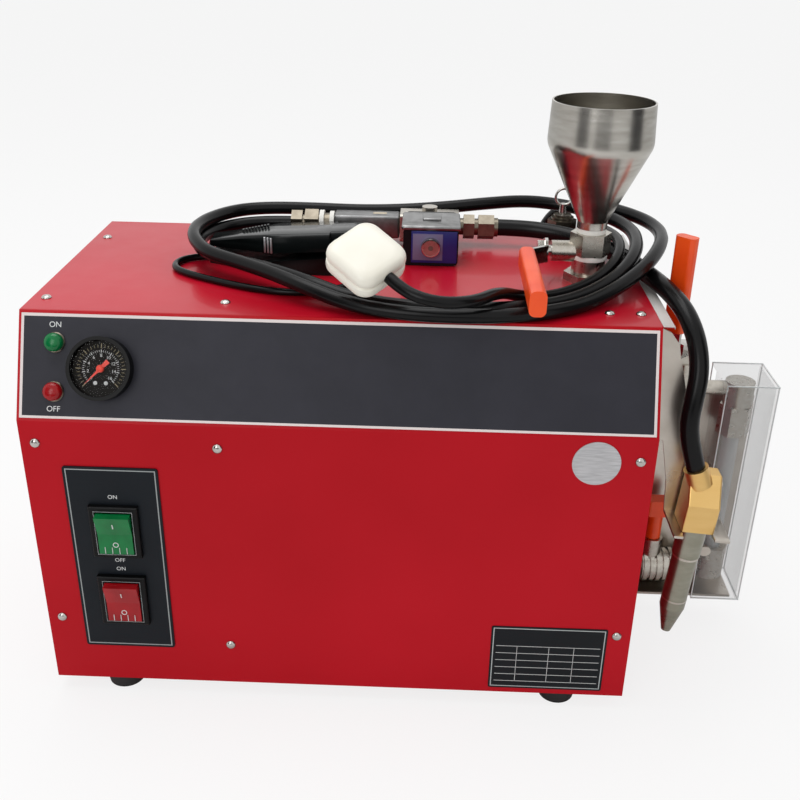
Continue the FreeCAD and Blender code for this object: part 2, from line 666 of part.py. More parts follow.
def control_overlay():
    long = "housing_long - 2 * overlay_edge"
    deep = f"{SLANT} - 2 * overlay_edge"
    card = box(long, deep, "overlay_thick", *on_band("overlay_edge", "overlay_edge"), BAND)
    finish(cut(card, *band_holes("8 * overlay_thick")), "control_overlay")


def on_gauge(out):
    return on_band("gauge_side", "gauge_up", f"overlay_thick + {out}")


def pressure_gauge():
    """A case with its bezel, a dial on the case's floor, a needle on the dial's pin, and the glass."""
    outside = "bezel_wide / 2"
    inside = "bezel_wide / 2 - bezel_wall"
    case = [
        (0, "-gauge_depth"), (f"{CASE_WIDE} / 2", "-gauge_depth"), (f"{CASE_WIDE} / 2", 0), (outside, 0),
        (outside, "bezel_high"), (inside, "bezel_high"), (inside, "dial_seat"), (0, "dial_seat"),
    ]
    finish(turned(case, *on_gauge(0), BAND), "gauge_case")
    across = "bezel_wide - 2 * bezel_wall"
    plate = rod(across, "dial_thick", *on_gauge("dial_seat"), BAND)
    pin = rod("needle_pin", "needle_lift + 2 * needle_thick", *on_gauge("dial_seat + dial_thick"), BAND)
    finish(fuse(plate, pin), "gauge_dial")
    outline = [(0, "needle_long"), (-1, 0), (-1.6, "-needle_tail"), (1.6, "-needle_tail"), (1, 0)]
    place = on_gauge("dial_seat + dial_thick + needle_lift")
    turn = BAND.multiply(Rotation(Vector(0, 0, 1), d.needle_zero))
    pointer = slab("XY_Plane", outline, "needle_thick", *place, turn)
    hub = rod("needle_hub", "2 * needle_thick", *place, turn)
    hole = rod("needle_pin + 2 * fit_gap", "6 * needle_thick", *on_gauge("dial_seat + dial_thick"), turn)
    finish(cut(fuse(pointer, hub), hole), "gauge_needle")
    finish(rod(across, "lens_thick", *on_gauge("bezel_high - lens_thick - lens_in"), BAND), "gauge_lens")


def lamp(name, up):
    outline = [
        (0, "-lamp_depth"), (f"{SHANK_WIDE} / 2", "-lamp_depth"), (f"{SHANK_WIDE} / 2", 0),
        ("lamp_wide / 2", 0), ("lamp_wide / 2", "lamp_high * 0.3"), ("lamp_wide / 2 - 1.2", "lamp_high * 0.3"),
        ("lamp_wide / 2 - 1.8", "lamp_high * 0.75"), ("lamp_wide / 2 - 4", "lamp_high"), (0, "lamp_high"),
    ]
    finish(turned(outline, *on_band("lamp_side", up, "overlay_thick"), BAND), name)


def switch_plate():
    plate = box("plate_wide", "plate_thick", "plate_high", f"{LEFT} + plate_side", f"{FRONT} - plate_thick",
                f"{FLOOR} + plate_low")
    plate = rounded(plate, d.plate_round, along(Vector(0, 1, 0)))
    finish(cut(plate, *switch_holes("8 * plate_thick")), "switch_plate")


def switch_frame(up):
    """A bezel on the plate with a cup behind the panel."""
    mid = f"{LEFT} + switch_side"
    z = f"{FLOOR} + {up}"
    face = f"{FRONT} - plate_thick"
    bezel = box("frame_wide", "frame_thick", "frame_high", f"{mid} - frame_wide / 2", f"{face} - frame_thick",
                f"{z} - frame_high / 2")
    bezel = rounded(bezel, d.frame_round, lambda edge: edge.BoundBox.YMax < front - d.plate_thick - d.frame_thick / 2)
    cup = box(CUP_WIDE, "switch_depth + plate_thick", CUP_HIGH, f"{mid} - {CUP_WIDE} / 2", face,
              f"{z} - {CUP_HIGH} / 2")
    well = box("well_wide", "frame_thick + well_deep", "well_high", f"{mid} - well_wide / 2",
               f"{face} - frame_thick", f"{z} - well_high / 2")
    return fuse(cut(fuse(bezel, cup), well), rocker_axle("rocker_pin", "well_wide + switch_wall", up))


def rocker_axle(wide, long, up):
    """A cylinder on the axis of a rocker, for its pin and for the hole round it."""
    return rod(wide, long, f"{LEFT} + switch_side - ({long}) / 2", f"{FRONT} - plate_thick", f"{FLOOR} + {up}",
               RIGHTWARD)


def rocker(name, up):
    """A V-faced rocker, its off side pressed, on a pivot in the plane of the switch plate."""
    tip = "(well_high / 2 - 2 * rocker_gap)"
    outline = [
        ("-(frame_thick + 3)", f"-{tip}"), ("-(frame_thick + 0.8)", 0), ("-(frame_thick + 3)", tip),
        (-1.5, tip), ("rocker_keel", "rocker_keel"), ("rocker_keel", "-rocker_keel"), (-1.5, f"-{tip}"),
    ]
    piece = slab("YZ_Plane", outline, "well_wide - 2 * rocker_gap", f"{LEFT} + switch_side",
                 f"{FRONT} - plate_thick", f"{FLOOR} + {up}", Rotation(Vector(1, 0, 0), d.rocker_tilt), True)
    finish(cut(piece, rocker_axle("rocker_pin + 2 * fit_gap", "2 * well_wide", up)), name)


def labels():
    plate = box("rating_wide", "label_thick", "rating_high", f"{RIGHT} - rating_in", f"{FRONT} - label_thick",
                f"{FLOOR} + rating_low")
    finish(rounded(plate, d.label_round, along(Vector(0, 1, 0))), "rating_plate")
    disc = rod("disc_wide", "label_thick", f"{RIGHT} - disc_in", FRONT, f"{FLOOR} + disc_up", FORWARD)
    finish(disc, "round_label")


# ---------------------------------------------------------------- boiler

def tank_round():
    """The boiler's outside as one cylinder, for the boiler and for what meets it."""
    return rod(TANK_WIDE, TANK_LONG, f"{LEFT} + tank_side", "tank_rear", TANK_Z, RIGHTWARD)


def boiler():
    """A closed vessel on two saddles that are welded to it."""
    shell = rounded(tank_round(), d.tank_round, lambda edge: edge.Curve.TypeId == "Part::GeomCircle")
    saddles = [box("saddle_thick", "saddle_wide", "saddle_high", f"{LEFT} + tank_side + {x}",
                   "tank_rear - saddle_wide / 2", f"{FLOOR} + sheet_thick")
               for x in ("saddle_in", f"{TANK_LONG} - saddle_in - saddle_thick")]
    inside = rod(f"{TANK_WIDE} - 2 * tank_wall", f"{TANK_LONG} - 2 * tank_wall - tank_round",
                 f"{LEFT} + tank_side + tank_wall + tank_round / 2", "tank_rear", TANK_Z, RIGHTWARD)
    finish(cut(fuse(shell, *saddles), inside), "boiler_tank")


def heating_element():
    wide = "heater_wide / 2"
    plug = "heater_wide / 4"
    post = "heater_wide / 8"
    outline = [
        (0, 0), (wide, 0), (wide, "heater_flange"), (plug, "heater_flange"), (plug, "heater_long * 0.7"),
        (post, "heater_long * 0.7"), (post, "heater_long"), (0, "heater_long"),
    ]
    finish(turned(outline, f"{LEFT} + tank_side", "tank_rear", f"{TANK_Z} - {TANK_WIDE} / 6", LEFTWARD), "heating_element")


def pressure_switch():
    neck = "switch_tall / 7"
    case = "switch_tall / 3"
    outline = [(0, 0), (neck, 0), (neck, "switch_tall / 4"), (case, "switch_tall / 4"), (case, "switch_tall"),
               (0, "switch_tall")]
    return turned(outline, f"{LEFT} + tank_side + saddle_in", "tank_rear", f"{TANK_Z} + {TANK_WIDE} / 2")


def contactor():
    x = f"{LEFT} + contactor_wide / 2"
    y = f"{REAR} - contactor_deep * 1.5"
    z = f"{FLOOR} + sheet_thick"
    block = box("contactor_wide", "contactor_deep", "contactor_tall * 0.8", x, y, z)
    coil = box("contactor_wide * 0.8", "contactor_deep * 0.5", "contactor_tall * 0.2", f"{x} + contactor_wide / 10",
               f"{y} + contactor_deep / 4", f"{z} + contactor_tall * 0.8")
    slots = [box("contactor_wide / 8", "contactor_deep / 8", "contactor_tall",
                 f"{x} + contactor_wide * {k / 4 + 1 / 16}", y, z) for k in range(4)]
    return cut(fuse(block, coil), *slots)


def inner_pipes():
    """Filler, safety and steam pipes, each cut to the curve of the boiler."""
    filler = rod("pipe_wide", "housing_high - tank_up", FILLER_X, FILLER_Y, TANK_Z)
    safety = rod("pipe_wide", "housing_high - tank_up", SAFETY_X, SAFETY_Y, TANK_Z)
    steam = rod("pipe_wide", f"{REAR} - tank_rear", OUTLET_X, "tank_rear", OUTLET_Z, REARWARD)
    finish(gather(*[cut(pipe, tank_round()) for pipe in (filler, safety, steam)]), "inner_pipes")


# ---------------------------------------------------------------- filler

def funnel():
    """A spun funnel: spigot, neck, cone and a bowl that draws in to its rim."""
    neck = "neck_wide / 2"
    shoulder = "funnel_wide / 2"
    outline = [
        ("neck_bore / 2", "funnel_neck - spigot_long"), ("spigot_wide / 2", "funnel_neck - spigot_long"),
        ("spigot_wide / 2", "funnel_neck"), (neck, "funnel_neck"), (neck, "funnel_neck + neck_high"),
        (shoulder, "funnel_shoulder"), ("funnel_rim / 2", "funnel_top"),
        ("funnel_rim / 2 - funnel_wall", "funnel_top"), (f"{shoulder} - funnel_wall", "funnel_shoulder"),
        ("neck_bore / 2", "funnel_neck"),
    ]
    spun = turned(outline, FILLER_X, FILLER_Y, TOP)
    level = top + d.funnel_shoulder
    ring = rounded(spun, d.funnel_round, lambda edge: abs(edge.BoundBox.ZMin - level) + edge.BoundBox.ZLength < 1e-3)
    finish(ring, "funnel")


def filler_valve():
    foot = hexagon("valve_foot", "valve_foot_high", FILLER_X, FILLER_Y, TOP)
    waist = rod("valve_wide", "valve_hex_low", FILLER_X, FILLER_Y, TOP)
    head = hexagon("valve_hex", "valve_hex_top - valve_hex_low", FILLER_X, FILLER_Y, f"{TOP} + valve_hex_low")
    boss = rod("boss_wide", "boss_out", FILLER_X, FILLER_Y, f"{TOP} + stem_up", LEFTWARD)
    socket = rod("spigot_wide", "spigot_long", FILLER_X, FILLER_Y, f"{TOP} + funnel_neck - spigot_long")
    stem = rod("stem_wide + 2 * fit_gap", "stem_in + fit_gap", f"{FILLER_X} - boss_out + stem_in + fit_gap", FILLER_Y,
               f"{TOP} + stem_up", LEFTWARD)
    finish(cut(fuse(foot, waist, head, boss), socket, stem), "filler_valve_body")


def lever_strap():
    """The cranked strap in plan: the eye, the set-off, and the tang inside the grip."""
    near = "-(lever_out - strap_thick)"
    tang = "strap_thick / 2"
    end = "-(grip_near + grip_long - 8)"
    outline = [
        (near, "eye_wide / 2"), (near, "-(crank_near + 0.7)"), (f"-grip_out + {tang}", "-(crank_far + 0.7)"),
        (f"-grip_out + {tang}", end), (f"-grip_out - {tang}", end), (f"-grip_out - {tang}", "-(crank_far - 0.7)"),
        ("-lever_out", "-(crank_near - 0.7)"), ("-lever_out", "eye_wide / 2"),
    ]
    return slab("XY_Plane", outline, "strap_wide", FILLER_X, FILLER_Y, f"{TOP} + stem_up", UP, True)


def filler_lever():
    z = f"{TOP} + stem_up"
    eye = rod("eye_wide", "strap_thick", f"{FILLER_X} - lever_out + strap_thick", FILLER_Y, z, LEFTWARD)
    nut = hexagon("nut_small", "lever_nut", f"{FILLER_X} - lever_out", FILLER_Y, z, LEFTWARD)
    stem = rod("stem_wide", "lever_out - boss_out + stem_in", f"{FILLER_X} - boss_out + stem_in", FILLER_Y, z, LEFTWARD)
    finish(fuse(lever_strap(), eye, nut, stem), "filler_valve_lever")
    grip = box("grip_thick", "grip_long", "grip_high", f"{FILLER_X} - grip_out - grip_thick / 2",
               f"{FILLER_Y} - grip_near - grip_long", f"{z} - grip_high / 2")
    grip = rounded(grip, d.grip_round, along(Vector(0, 1, 0)))
    finish(cut(grip, lever_strap()), "filler_lever_grip")


def safety_valve():
    foot = rod("safety_wide", "safety_high - 2", SAFETY_X, SAFETY_Y, TOP)
    head = hexagon("safety_hex", "safety_high / 2", SAFETY_X, SAFETY_Y, f"{TOP} + safety_high / 3")
    crown = rod("safety_wide - 4", "safety_high", SAFETY_X, SAFETY_Y, TOP)
    bore = rod("spindle_wide + 2 * fit_gap", "safety_high", SAFETY_X, SAFETY_Y, f"{TOP} + safety_high / 2")
    finish(cut(fuse(foot, head, crown), bore), "safety_valve_body")
    base = f"{TOP} + safety_high / 2 + seat_gap"
    stretch = "(safety_high / 2 + spindle_out)"
    spindle = rod("spindle_wide", stretch, SAFETY_X, SAFETY_Y, base)
    ring = sized("Torus", {"Radius1": "(ring_wide - ring_wire) / 2", "Radius2": "ring_wire / 2"})
    put(ring, SAFETY_X, SAFETY_Y, f"{base} + {stretch} + ring_wide / 2 - ring_wire", FORWARD)
    finish(fuse(spindle, ring), "safety_valve_ring")


# ---------------------------------------------------------------- steam valve

LINE_Y = "line_back"
LINE_Z = f"{TOP} + line_up"
BODY_X = "body_mid"
COIL_END = "(line_back - body_thick / 2)"


def steam_valve():
    block = box("body_long", "body_thick", "body_thick", BODY_X, f"{LINE_Y} - body_thick / 2",
                f"{LINE_Z} - body_thick / 2")
    block = rounded(block, d.body_round, along(Vector(1, 0, 0)))
    bolt = rod("coil_nut_wide", "coil_nut_high", f"{BODY_X} + body_long / 2", LINE_Y, f"{LINE_Z} + body_thick / 2")
    mid = "coil_mid + coil_wide / 2"
    tube = rod("armature_wide", f"{COIL_END} - coil_back", mid, COIL_END, LINE_Z, FORWARD)
    nut = hexagon("coil_nut_wide", "coil_nut_high", mid, "coil_back", LINE_Z, FORWARD)
    finish(fuse(block, bolt, tube, nut), "steam_valve_body")
    coil = box("coil_wide", f"{COIL_END} - coil_back", "coil_high", "coil_mid", "coil_back", f"{TOP} + seat_gap")
    coil = rounded(coil, d.coil_round, along(Vector(0, 1, 0)))
    hole = rod("armature_wide", "housing_deep / 2", mid, f"{COIL_END} + 1", LINE_Z, FORWARD)
    finish(cut(coil, hole), "solenoid_coil")


def valve_unions():
    """Nipples, hexagons and bare pipe either side of the valve body."""
    end = f"{BODY_X} + body_long"
    step = "(union_right / 4)"
    right = [
        rod("union_pipe", "union_right", end, LINE_Y, LINE_Z, RIGHTWARD),
        hexagon("union_hex", f"{step} * 1.1", f"{end} + {step} * 0.5", LINE_Y, LINE_Z, RIGHTWARD),
        hexagon("union_hex", f"{step} * 1.6", f"{end} + {step} * 2", LINE_Y, LINE_Z, RIGHTWARD),
        rod("steam_wide + 1.6", f"{step} * 0.4", f"{end} + {step} * 3.6", LINE_Y, LINE_Z, RIGHTWARD),
    ]
    third = "(union_left / 8)"
    left_side = [
        rod("union_pipe", "union_left", BODY_X, LINE_Y, LINE_Z, LEFTWARD),
        hexagon("union_hex", third, f"{BODY_X} - {third}", LINE_Y, LINE_Z, LEFTWARD),
        rod("union_hex - 1", third, f"{BODY_X} - {third} * 5", LINE_Y, LINE_Z, LEFTWARD),
        hexagon("union_hex + 2", third, f"{BODY_X} - {third} * 6", LINE_Y, LINE_Z, LEFTWARD),
        hexagon("union_hex", f"{third} * 0.8", f"{BODY_X} - {third} * 7.2", LINE_Y, LINE_Z, LEFTWARD),
    ]
    finish(gather(fuse(*right), fuse(*left_side)), "valve_unions")


# ---------------------------------------------------------------- pedal

PEDAL_MID = "pedal_back"
PEDAL_FRONT = "(pedal_back - pedal_wide / 2)"
PEDAL_REAR = "(pedal_back + pedal_wide / 2)"


def pedal_plan():
    half = "pedal_wide / 2"
    blunt = "pedal_nose_wide / 2"
    outline = [
        ("pedal_heel", f"-{half}"), ("pedal_heel", half), ("-pedal_side", half), ("-pedal_nose", blunt),
        ("-pedal_nose", f"-{blunt}"), ("-pedal_side", f"-{half}"),
    ]
    return slab("XY_Plane", outline, "3 * treadle_heel", 0, PEDAL_MID, TOP)


def pedal_side_view(outline):
    return slab("XZ_Plane", outline, "2 * pedal_wide", 0, PEDAL_MID, TOP, UP, True)


def pin_hole(wide, extra):
    """A cylinder across the heel, for the pin and the holes round it."""
    y = f"{PEDAL_FRONT} - {extra}"
    return rod(wide, f"pedal_wide + 2 * {extra}", "pedal_heel - pin_in", y, f"{TOP} + pin_up", REARWARD)


def pedal_base():
    outline = [("-pedal_nose", 0), ("pedal_heel", 0), ("pedal_heel", "pedal_base_heel"),
               ("-pedal_nose", "pedal_base_nose")]
    wedge = common(pedal_plan(), pedal_side_view(outline))
    ears = [box("2 * pin_in", "ear_thick", "pin_up + pin_wide", "pedal_heel - 2 * pin_in", y, TOP)
            for y in (PEDAL_FRONT, f"{PEDAL_REAR} - ear_thick")]
    finish(cut(fuse(wedge, *ears), pin_hole("pin_wide", 1)), "pedal_base")
    finish(pin_hole("pin_wide", 0), "pedal_pin")


def pedal_treadle():
    low = "(pedal_base_nose + treadle_gap)"
    high = f"({low} + treadle_thick)"
    outline = [
        ("-pedal_nose", low), ("pedal_heel", "pedal_base_heel + treadle_gap / 2"), ("pedal_heel", "treadle_heel"),
        ("-pedal_nose", high),
    ]
    tread = common(pedal_plan(), pedal_side_view(outline))
    slope = "(treadle_heel - treadle_gap - pedal_base_nose - treadle_thick) / (pedal_heel + pedal_nose)"
    rise = (d.treadle_heel - d.treadle_gap - d.pedal_base_nose - d.treadle_thick) / (d.pedal_heel + d.pedal_nose)
    tilt = Rotation(Vector(0, 1, 0), -math.degrees(math.atan(rise)))
    reach = "(pedal_wide - 2 * ear_thick - 4 * fit_gap - 2)"
    ribs = []
    for k in range(int(d.rib_count)):
        along_x = f"(pedal_nose - pedal_side + {k} * rib_pitch)"
        ribs.append(box("rib_pitch / 2", reach, "2 * rib_high", f"{along_x} - pedal_nose", f"{PEDAL_MID} - {reach} / 2",
                        f"{TOP} + {high} + {along_x} * {slope} - rib_high", tilt))
    clear = "(ear_thick + fit_gap)"
    notches = [box("3 * pin_in", clear, "3 * treadle_heel", "pedal_heel - 2.25 * pin_in", y, TOP)
               for y in (PEDAL_FRONT, f"{PEDAL_REAR} - {clear}")]
    finish(cut(fuse(tread, *ribs), *notches, pin_hole("pin_wide + 2 * fit_gap", 1)), "pedal_treadle")


# ---------------------------------------------------------------- level gauge

UPPER_Z = f"{FLOOR} + upper_up"
LOWER_Z = f"{FLOOR} + lower_up"
TANK_END = f"({RIGHT} - tank_right)"
UPPER_STEM_X = f"{RIGHT} + upper_stem"
LOWER_STEM_X = f"{RIGHT} + lower_stem"
NUT_TOP = f"{LOWER_Z} + cock_neck + nut_lower"
NUT_BOTTOM = f"{UPPER_Z} - cock_neck - nut_upper"


def cock_pipe(z):
    return rod("cock_pipe", "tank_right + glass_out", TANK_END, GLASS_Y, z, RIGHTWARD)


def upper_cock():
    """Pipe from the boiler, body over the glass, gland nut, and the boss of its stem."""
    body = rod("cock_wide", "cock_cap + cock_neck", GLASS_X, GLASS_Y, f"{UPPER_Z} - cock_neck")
    nut = hexagon("nut_hex", "nut_upper", GLASS_X, GLASS_Y, NUT_BOTTOM)
    boss = rod("upper_boss", "upper_boss_high + upper_boss / 2", UPPER_STEM_X, GLASS_Y,
               f"{UPPER_Z} - upper_boss / 2")
    gland = hexagon("upper_hex", "upper_gland", UPPER_STEM_X, GLASS_Y, f"{UPPER_Z} + upper_boss_high")
    socket = rod("glass_wide", "glass_in", GLASS_X, GLASS_Y, NUT_BOTTOM)
    stem = rod("stem_wide + 2 * fit_gap", "stem_in + fit_gap", UPPER_STEM_X, GLASS_Y,
               f"{UPPER_Z} + upper_boss_high + upper_gland - stem_in - fit_gap")
    finish(cut(fuse(cock_pipe(UPPER_Z), body, nut, boss, gland), socket, stem), "upper_gauge_cock")


def lower_cock():
    """Pipe from the boiler, ridged union, body under the glass, and the boss of its stem."""
    body = rod("cock_wide", "cock_cap + cock_neck", GLASS_X, GLASS_Y, f"{LOWER_Z} - cock_cap")
    nut = hexagon("nut_hex", "nut_lower", GLASS_X, GLASS_Y, f"{LOWER_Z} + cock_neck")
    body = fuse(body, nut)
    doc.recompute()
    start = f"{RIGHT} + union_out"
    ridges = [rod("union_wide - 2 * ridge_deep", "union_long", start, GLASS_Y, LOWER_Z, RIGHTWARD)]
    count = int(d.union_ridges)
    for k in range(count):
        pitch = f"(union_long / {count})"
        ridges.append(rod("union_wide", f"{pitch} * 0.6", f"{start} + {pitch} * {k + 0.2}", GLASS_Y, LOWER_Z, RIGHTWARD))
    boss = rod("lower_boss", "lower_boss_high", LOWER_STEM_X, GLASS_Y, LOWER_Z)
    socket = rod("glass_wide", "2 * glass_in", GLASS_X, GLASS_Y, f"{NUT_TOP} - glass_in")
    stem = rod("stem_wide + 2 * fit_gap", "stem_in + fit_gap", LOWER_STEM_X, GLASS_Y,
               f"{LOWER_Z} + lower_boss_high - stem_in - fit_gap")
    finish(cut(fuse(cock_pipe(LOWER_Z), body, boss, *ridges), socket, stem), "lower_gauge_cock")


def gauge_glass():
    low = f"{NUT_TOP} - glass_in"
    high = f"{NUT_BOTTOM} + glass_in - ({low})"
    tube = rod("glass_wide", high, GLASS_X, GLASS_Y, low)
    finish(cut(tube, rod("glass_wide - 2 * glass_wall", high, GLASS_X, GLASS_Y, low)), "gauge_glass")


def upper_lever():
    """A cranked strap on the stem, with an upright grip set toward the front left."""
    base = f"{UPPER_Z} + upper_boss_high + upper_gland + fit_gap"
    turn = Rotation(Vector(0, 0, 1), 180 + d.lever_turn)
    rise = "(paddle_low + paddle_high - upper_up - upper_boss_high - upper_gland - fit_gap)"
    half = "upper_strap / 2"
    outline = [
        ("-upper_strap_wide / 2", 0), (f"lever_reach + {half}", 0), (f"lever_reach + {half}", f"{rise} - 6"),
        (f"lever_reach - {half}", f"{rise} - 6"), (f"lever_reach - {half}", "upper_strap"),
        ("-upper_strap_wide / 2", "upper_strap"),
    ]
    place = (UPPER_STEM_X, GLASS_Y, base)
    strap = slab("XZ_Plane", outline, "upper_strap_wide", *place, turn, True)
    nut = hexagon("upper_hex - 3", "upper_strap + lever_nut", *place)
    stem = rod("stem_wide", "stem_in + fit_gap", UPPER_STEM_X, GLASS_Y, f"{base} - stem_in - fit_gap")
    lever = finish(fuse(strap, nut, stem), "upper_cock_lever")
    near = "lever_reach - paddle_thick / 2"
    far = "lever_reach + paddle_thick / 2"
    face = [(near, f"{rise} - paddle_high"), (far, f"{rise} - paddle_high"), (far, rise), (near, rise)]
    paddle = slab("XZ_Plane", face, "paddle_wide", *place, turn, True)
    paddle = rounded(paddle, d.paddle_round, along(Vector(0, 0, 1)))
    finish(cut(paddle, lever), "upper_cock_grip")


def lower_handle():
    """A small butterfly handle on a round hub."""
    base = f"{LOWER_Z} + lower_boss_high + fit_gap"
    hub = rod("hub_wide", "wing_up - lower_up - lower_boss_high - fit_gap", LOWER_STEM_X, GLASS_Y, base)
    stem = rod("stem_wide", "stem_in + fit_gap", LOWER_STEM_X, GLASS_Y, f"{base} - stem_in")
    wings = box("wing_long", "wing_thick", "wing_high", f"{LOWER_STEM_X} - wing_long / 2",
                f"{GLASS_Y} - wing_thick / 2", f"{FLOOR} + wing_up")
    wings = rounded(wings, d.wing_round, along(Vector(0, 0, 1)))
    finish(fuse(hub, stem, wings), "lower_cock_handle")


def standoff(place, wide, thick, start):
    z = f"{FLOOR} + standoff_up + {place} * standoff_pitch"
    return rod(wide, thick, f"{RIGHT} + guard_out + standoff_in", start, z, REARWARD)


def gauge_bracket():
    """Back plate with a foot under the gauge, a tab on the cabinet, and the guard's stand-offs."""
    high = "bracket_top - bracket_low"
    low = f"{FLOOR} + bracket_low"
    plate = box("bracket_long", "bracket_thick", high, RIGHT, "bracket_back", low)
    shelf = box("bracket_long", "bracket_back + guard_ahead - guard_thick", "bracket_thick", RIGHT,
                "guard_thick - guard_ahead", low)
    tab = box("bracket_thick", "bracket_tab", high, RIGHT, "bracket_back", low)
    posts = [standoff(k, "standoff_wide", "bracket_back + guard_ahead", "-guard_ahead") for k in range(2)]
    heads = [standoff(k, "standoff_head", "guard_thick", "-guard_ahead - guard_thick") for k in range(2)]
    finish(fuse(plate, shelf, tab, *posts, *heads), "gauge_bracket")


def gauge_guard():
    """Clear box open to the rear and below, notched round the two pipes."""
    x = f"{RIGHT} + guard_out"
    y = "-guard_ahead"
    z = f"{FLOOR} + guard_low"
    face = box("guard_wide", "guard_thick", "guard_high", x, y, z)
    lid = box("guard_wide", "guard_long", "guard_thick", x, y, f"{z} + guard_high - guard_thick")
    far = box("guard_thick", "guard_long", "guard_high", f"{x} + guard_wide - guard_thick", y, z)
    near = box("guard_thick", "bracket_back + guard_ahead", "guard_high", x, y, z)
    notches = [rod("cock_pipe + 2 * notch_gap", "3 * guard_thick", f"{x} - guard_thick", GLASS_Y, up, RIGHTWARD)
               for up in (UPPER_Z, LOWER_Z)]
    shelf = box("2 * guard_thick", "guard_long", "bracket_thick", f"{x} - guard_thick", f"{y} + guard_thick",
                f"{FLOOR} + bracket_low")
    posts = [standoff(k, "standoff_wide", "guard_long", "-guard_ahead - guard_thick") for k in range(2)]
    finish(fuse(cut(face, *posts), lid, far, cut(near, *notches, shelf)), "gauge_guard")


# ---------------------------------------------------------------- hand nozzle

NOZZLE_X = f"({RIGHT} + nozzle_out)"
NOZZLE_Y = f"{FRONT} + nozzle_deep"
NOZZLE_Z = f"({TOP} - nozzle_down)"
LEAN = Rotation(Vector(0, 1, 0), d.nozzle_lean)
# The holder's tongue, as shares of its reach from the cabinet and of its height over the rest.
TONGUE_LEFT = [(0.215, 0.416), (0.318, 0.196)]
TONGUE_RIGHT = [
    (1, 0.042), (0.833, 0.196), (0.733, 0.301), (0.6, 0.406), (0.5, 0.51),
    (0.322, 0.79), (0.278, 0.85), (0.247, 0.913), (0.14, 0.972),
]


def on_nozzle(height):
    """A point of the nozzle's leaning axis."""
    return f"{NOZZLE_X} + ({height}) * sin(nozzle_lean)", NOZZLE_Y, f"{NOZZLE_Z} + ({height}) * cos(nozzle_lean)"


def handpiece_block():
    front_y = "-block_deep / 2"
    outline = [
        (front_y, "seat_gap"), ("block_deep / 2", "seat_gap"), ("block_deep / 2", "block_high"),
        (f"{front_y} + block_slope", "block_high"), (front_y, "block_chest"),
    ]
    block = slab("YZ_Plane", outline, "block_wide", *on_nozzle(0), LEAN, True)
    lowest = top - d.nozzle_down + d.block_chest / 2
    block = rounded(block, d.block_round, lambda edge: edge.BoundBox.ZMax > lowest)
    turn = Rotation(Vector(0, 1, 0), -d.ferrule_lean)
    ferrule = rod("ferrule_wide", "ferrule_long", NOZZLE_X, NOZZLE_Y, f"{NOZZLE_Z} + ferrule_rise", turn)
    finish(fuse(block, ferrule), "handpiece_block")


def nozzle_tube():
    jet = "jet_wide / 2"
    tip = "-(tube_long + tip_long)"
    outline = [
        (jet, tip), ("tip_wide / 2", tip), ("tube_slim / 2", "-tube_long"), ("tube_slim / 2", "-tube_collar"),
        ("tube_wide / 2", "-tube_collar"), ("tube_wide / 2", "seat_gap"), (jet, "seat_gap"),
    ]
    tube = turned(outline, *on_nozzle(0), LEAN)
    finish(tube, "nozzle_tube")


def nozzle_holder():
    """A tongue that swings out from the cabinet and carries a forked rest for the nozzle."""
    rest = slab("XY_Plane", [("-rest_left", "-rest_front"), ("rest_right", "-rest_front"), ("rest_right", "rest_rear"),
                             ("-rest_left", "rest_rear")], "holder_thick", *on_nozzle("-holder_thick"), LEAN)
    half = "(tube_wide / 2 + slot_gap)"
    fork = slab("XY_Plane", [(f"-{half}", "-2 * rest_front"), (half, "-2 * rest_front"), (half, 0), (f"-{half}", 0)],
                "6 * holder_thick", *on_nozzle(0), LEAN, True)
    eye = rod(f"2 * {half}", "6 * holder_thick", *on_nozzle("-3 * holder_thick"), LEAN)
    foot = f"({NOZZLE_Z} - holder_thick)"
    reach = "(nozzle_out + rest_right)"
    rise = "(nozzle_down + holder_thick - holder_down)"
    left_foot = ("nozzle_out - rest_left", "rest_left * tan(nozzle_lean)")
    right_foot = (reach, "-rest_right * tan(nozzle_lean)")
    tongue = [(0, f"{rise} - holder_flange")]
    tongue += [(f"{out} * {reach}", f"{up} * {rise}") for out, up in TONGUE_LEFT]
    tongue += [left_foot, right_foot]
    tongue += [(f"{out} * {reach}", f"{up} * {rise}") for out, up in TONGUE_RIGHT]
    tongue.append((0, rise))
    back = f"{NOZZLE_Y} + rest_rear"
    plate = slab("XZ_Plane", tongue, "holder_thick", RIGHT, back, foot)
    tab = box("holder_thick", "holder_tab", "holder_flange", RIGHT, f"{back} - holder_thick",
              f"{TOP} - holder_down - holder_flange")
    finish(fuse(cut(rest, fork, eye), plate, tab), "nozzle_holder")


# ---------------------------------------------------------------- plug and leads

HOSE_SEAT = 0.05
PLUG_PLACE = Vector(17.5, -85.5, top + 41)
PLUG_PINS = Vector(-0.63, -0.22, -0.745)
PLUG_LEAD = Vector(0.732, -0.5417, -0.4113)
PLUG = Placement(PLUG_PLACE, Rotation(PLUG_PINS, PLUG_LEAD, Vector(0, 0, 0), "XYZ"))


def set_on_plug(piece, x, y, z):
    """Place a piece on the plug: x toward its blades, y toward its lead, z out of its face."""
    piece.Placement = PLUG.multiply(Placement(Vector(x, y, z), Rotation()))
    return piece


def mains_plug():
    half = d.plug_face / 2
    block = set_on_plug(sized("Box", {"Length": "plug_face", "Width": "plug_face", "Height": "plug_thick"}),
                        -half, -half, -d.plug_thick / 2)
    block = rounded(block, d.plug_round, along(PLUG.Rotation.multVec(Vector(0, 0, 1))))
    groove = sized("Box", {"Length": "3 * groove_deep", "Width": "plug_face * 2", "Height": "plug_thick"})
    set_on_plug(groove, half / 2, -d.plug_face, d.plug_thick / 2 - d.groove_deep)
    finish(cut(block, groove), "mains_plug")


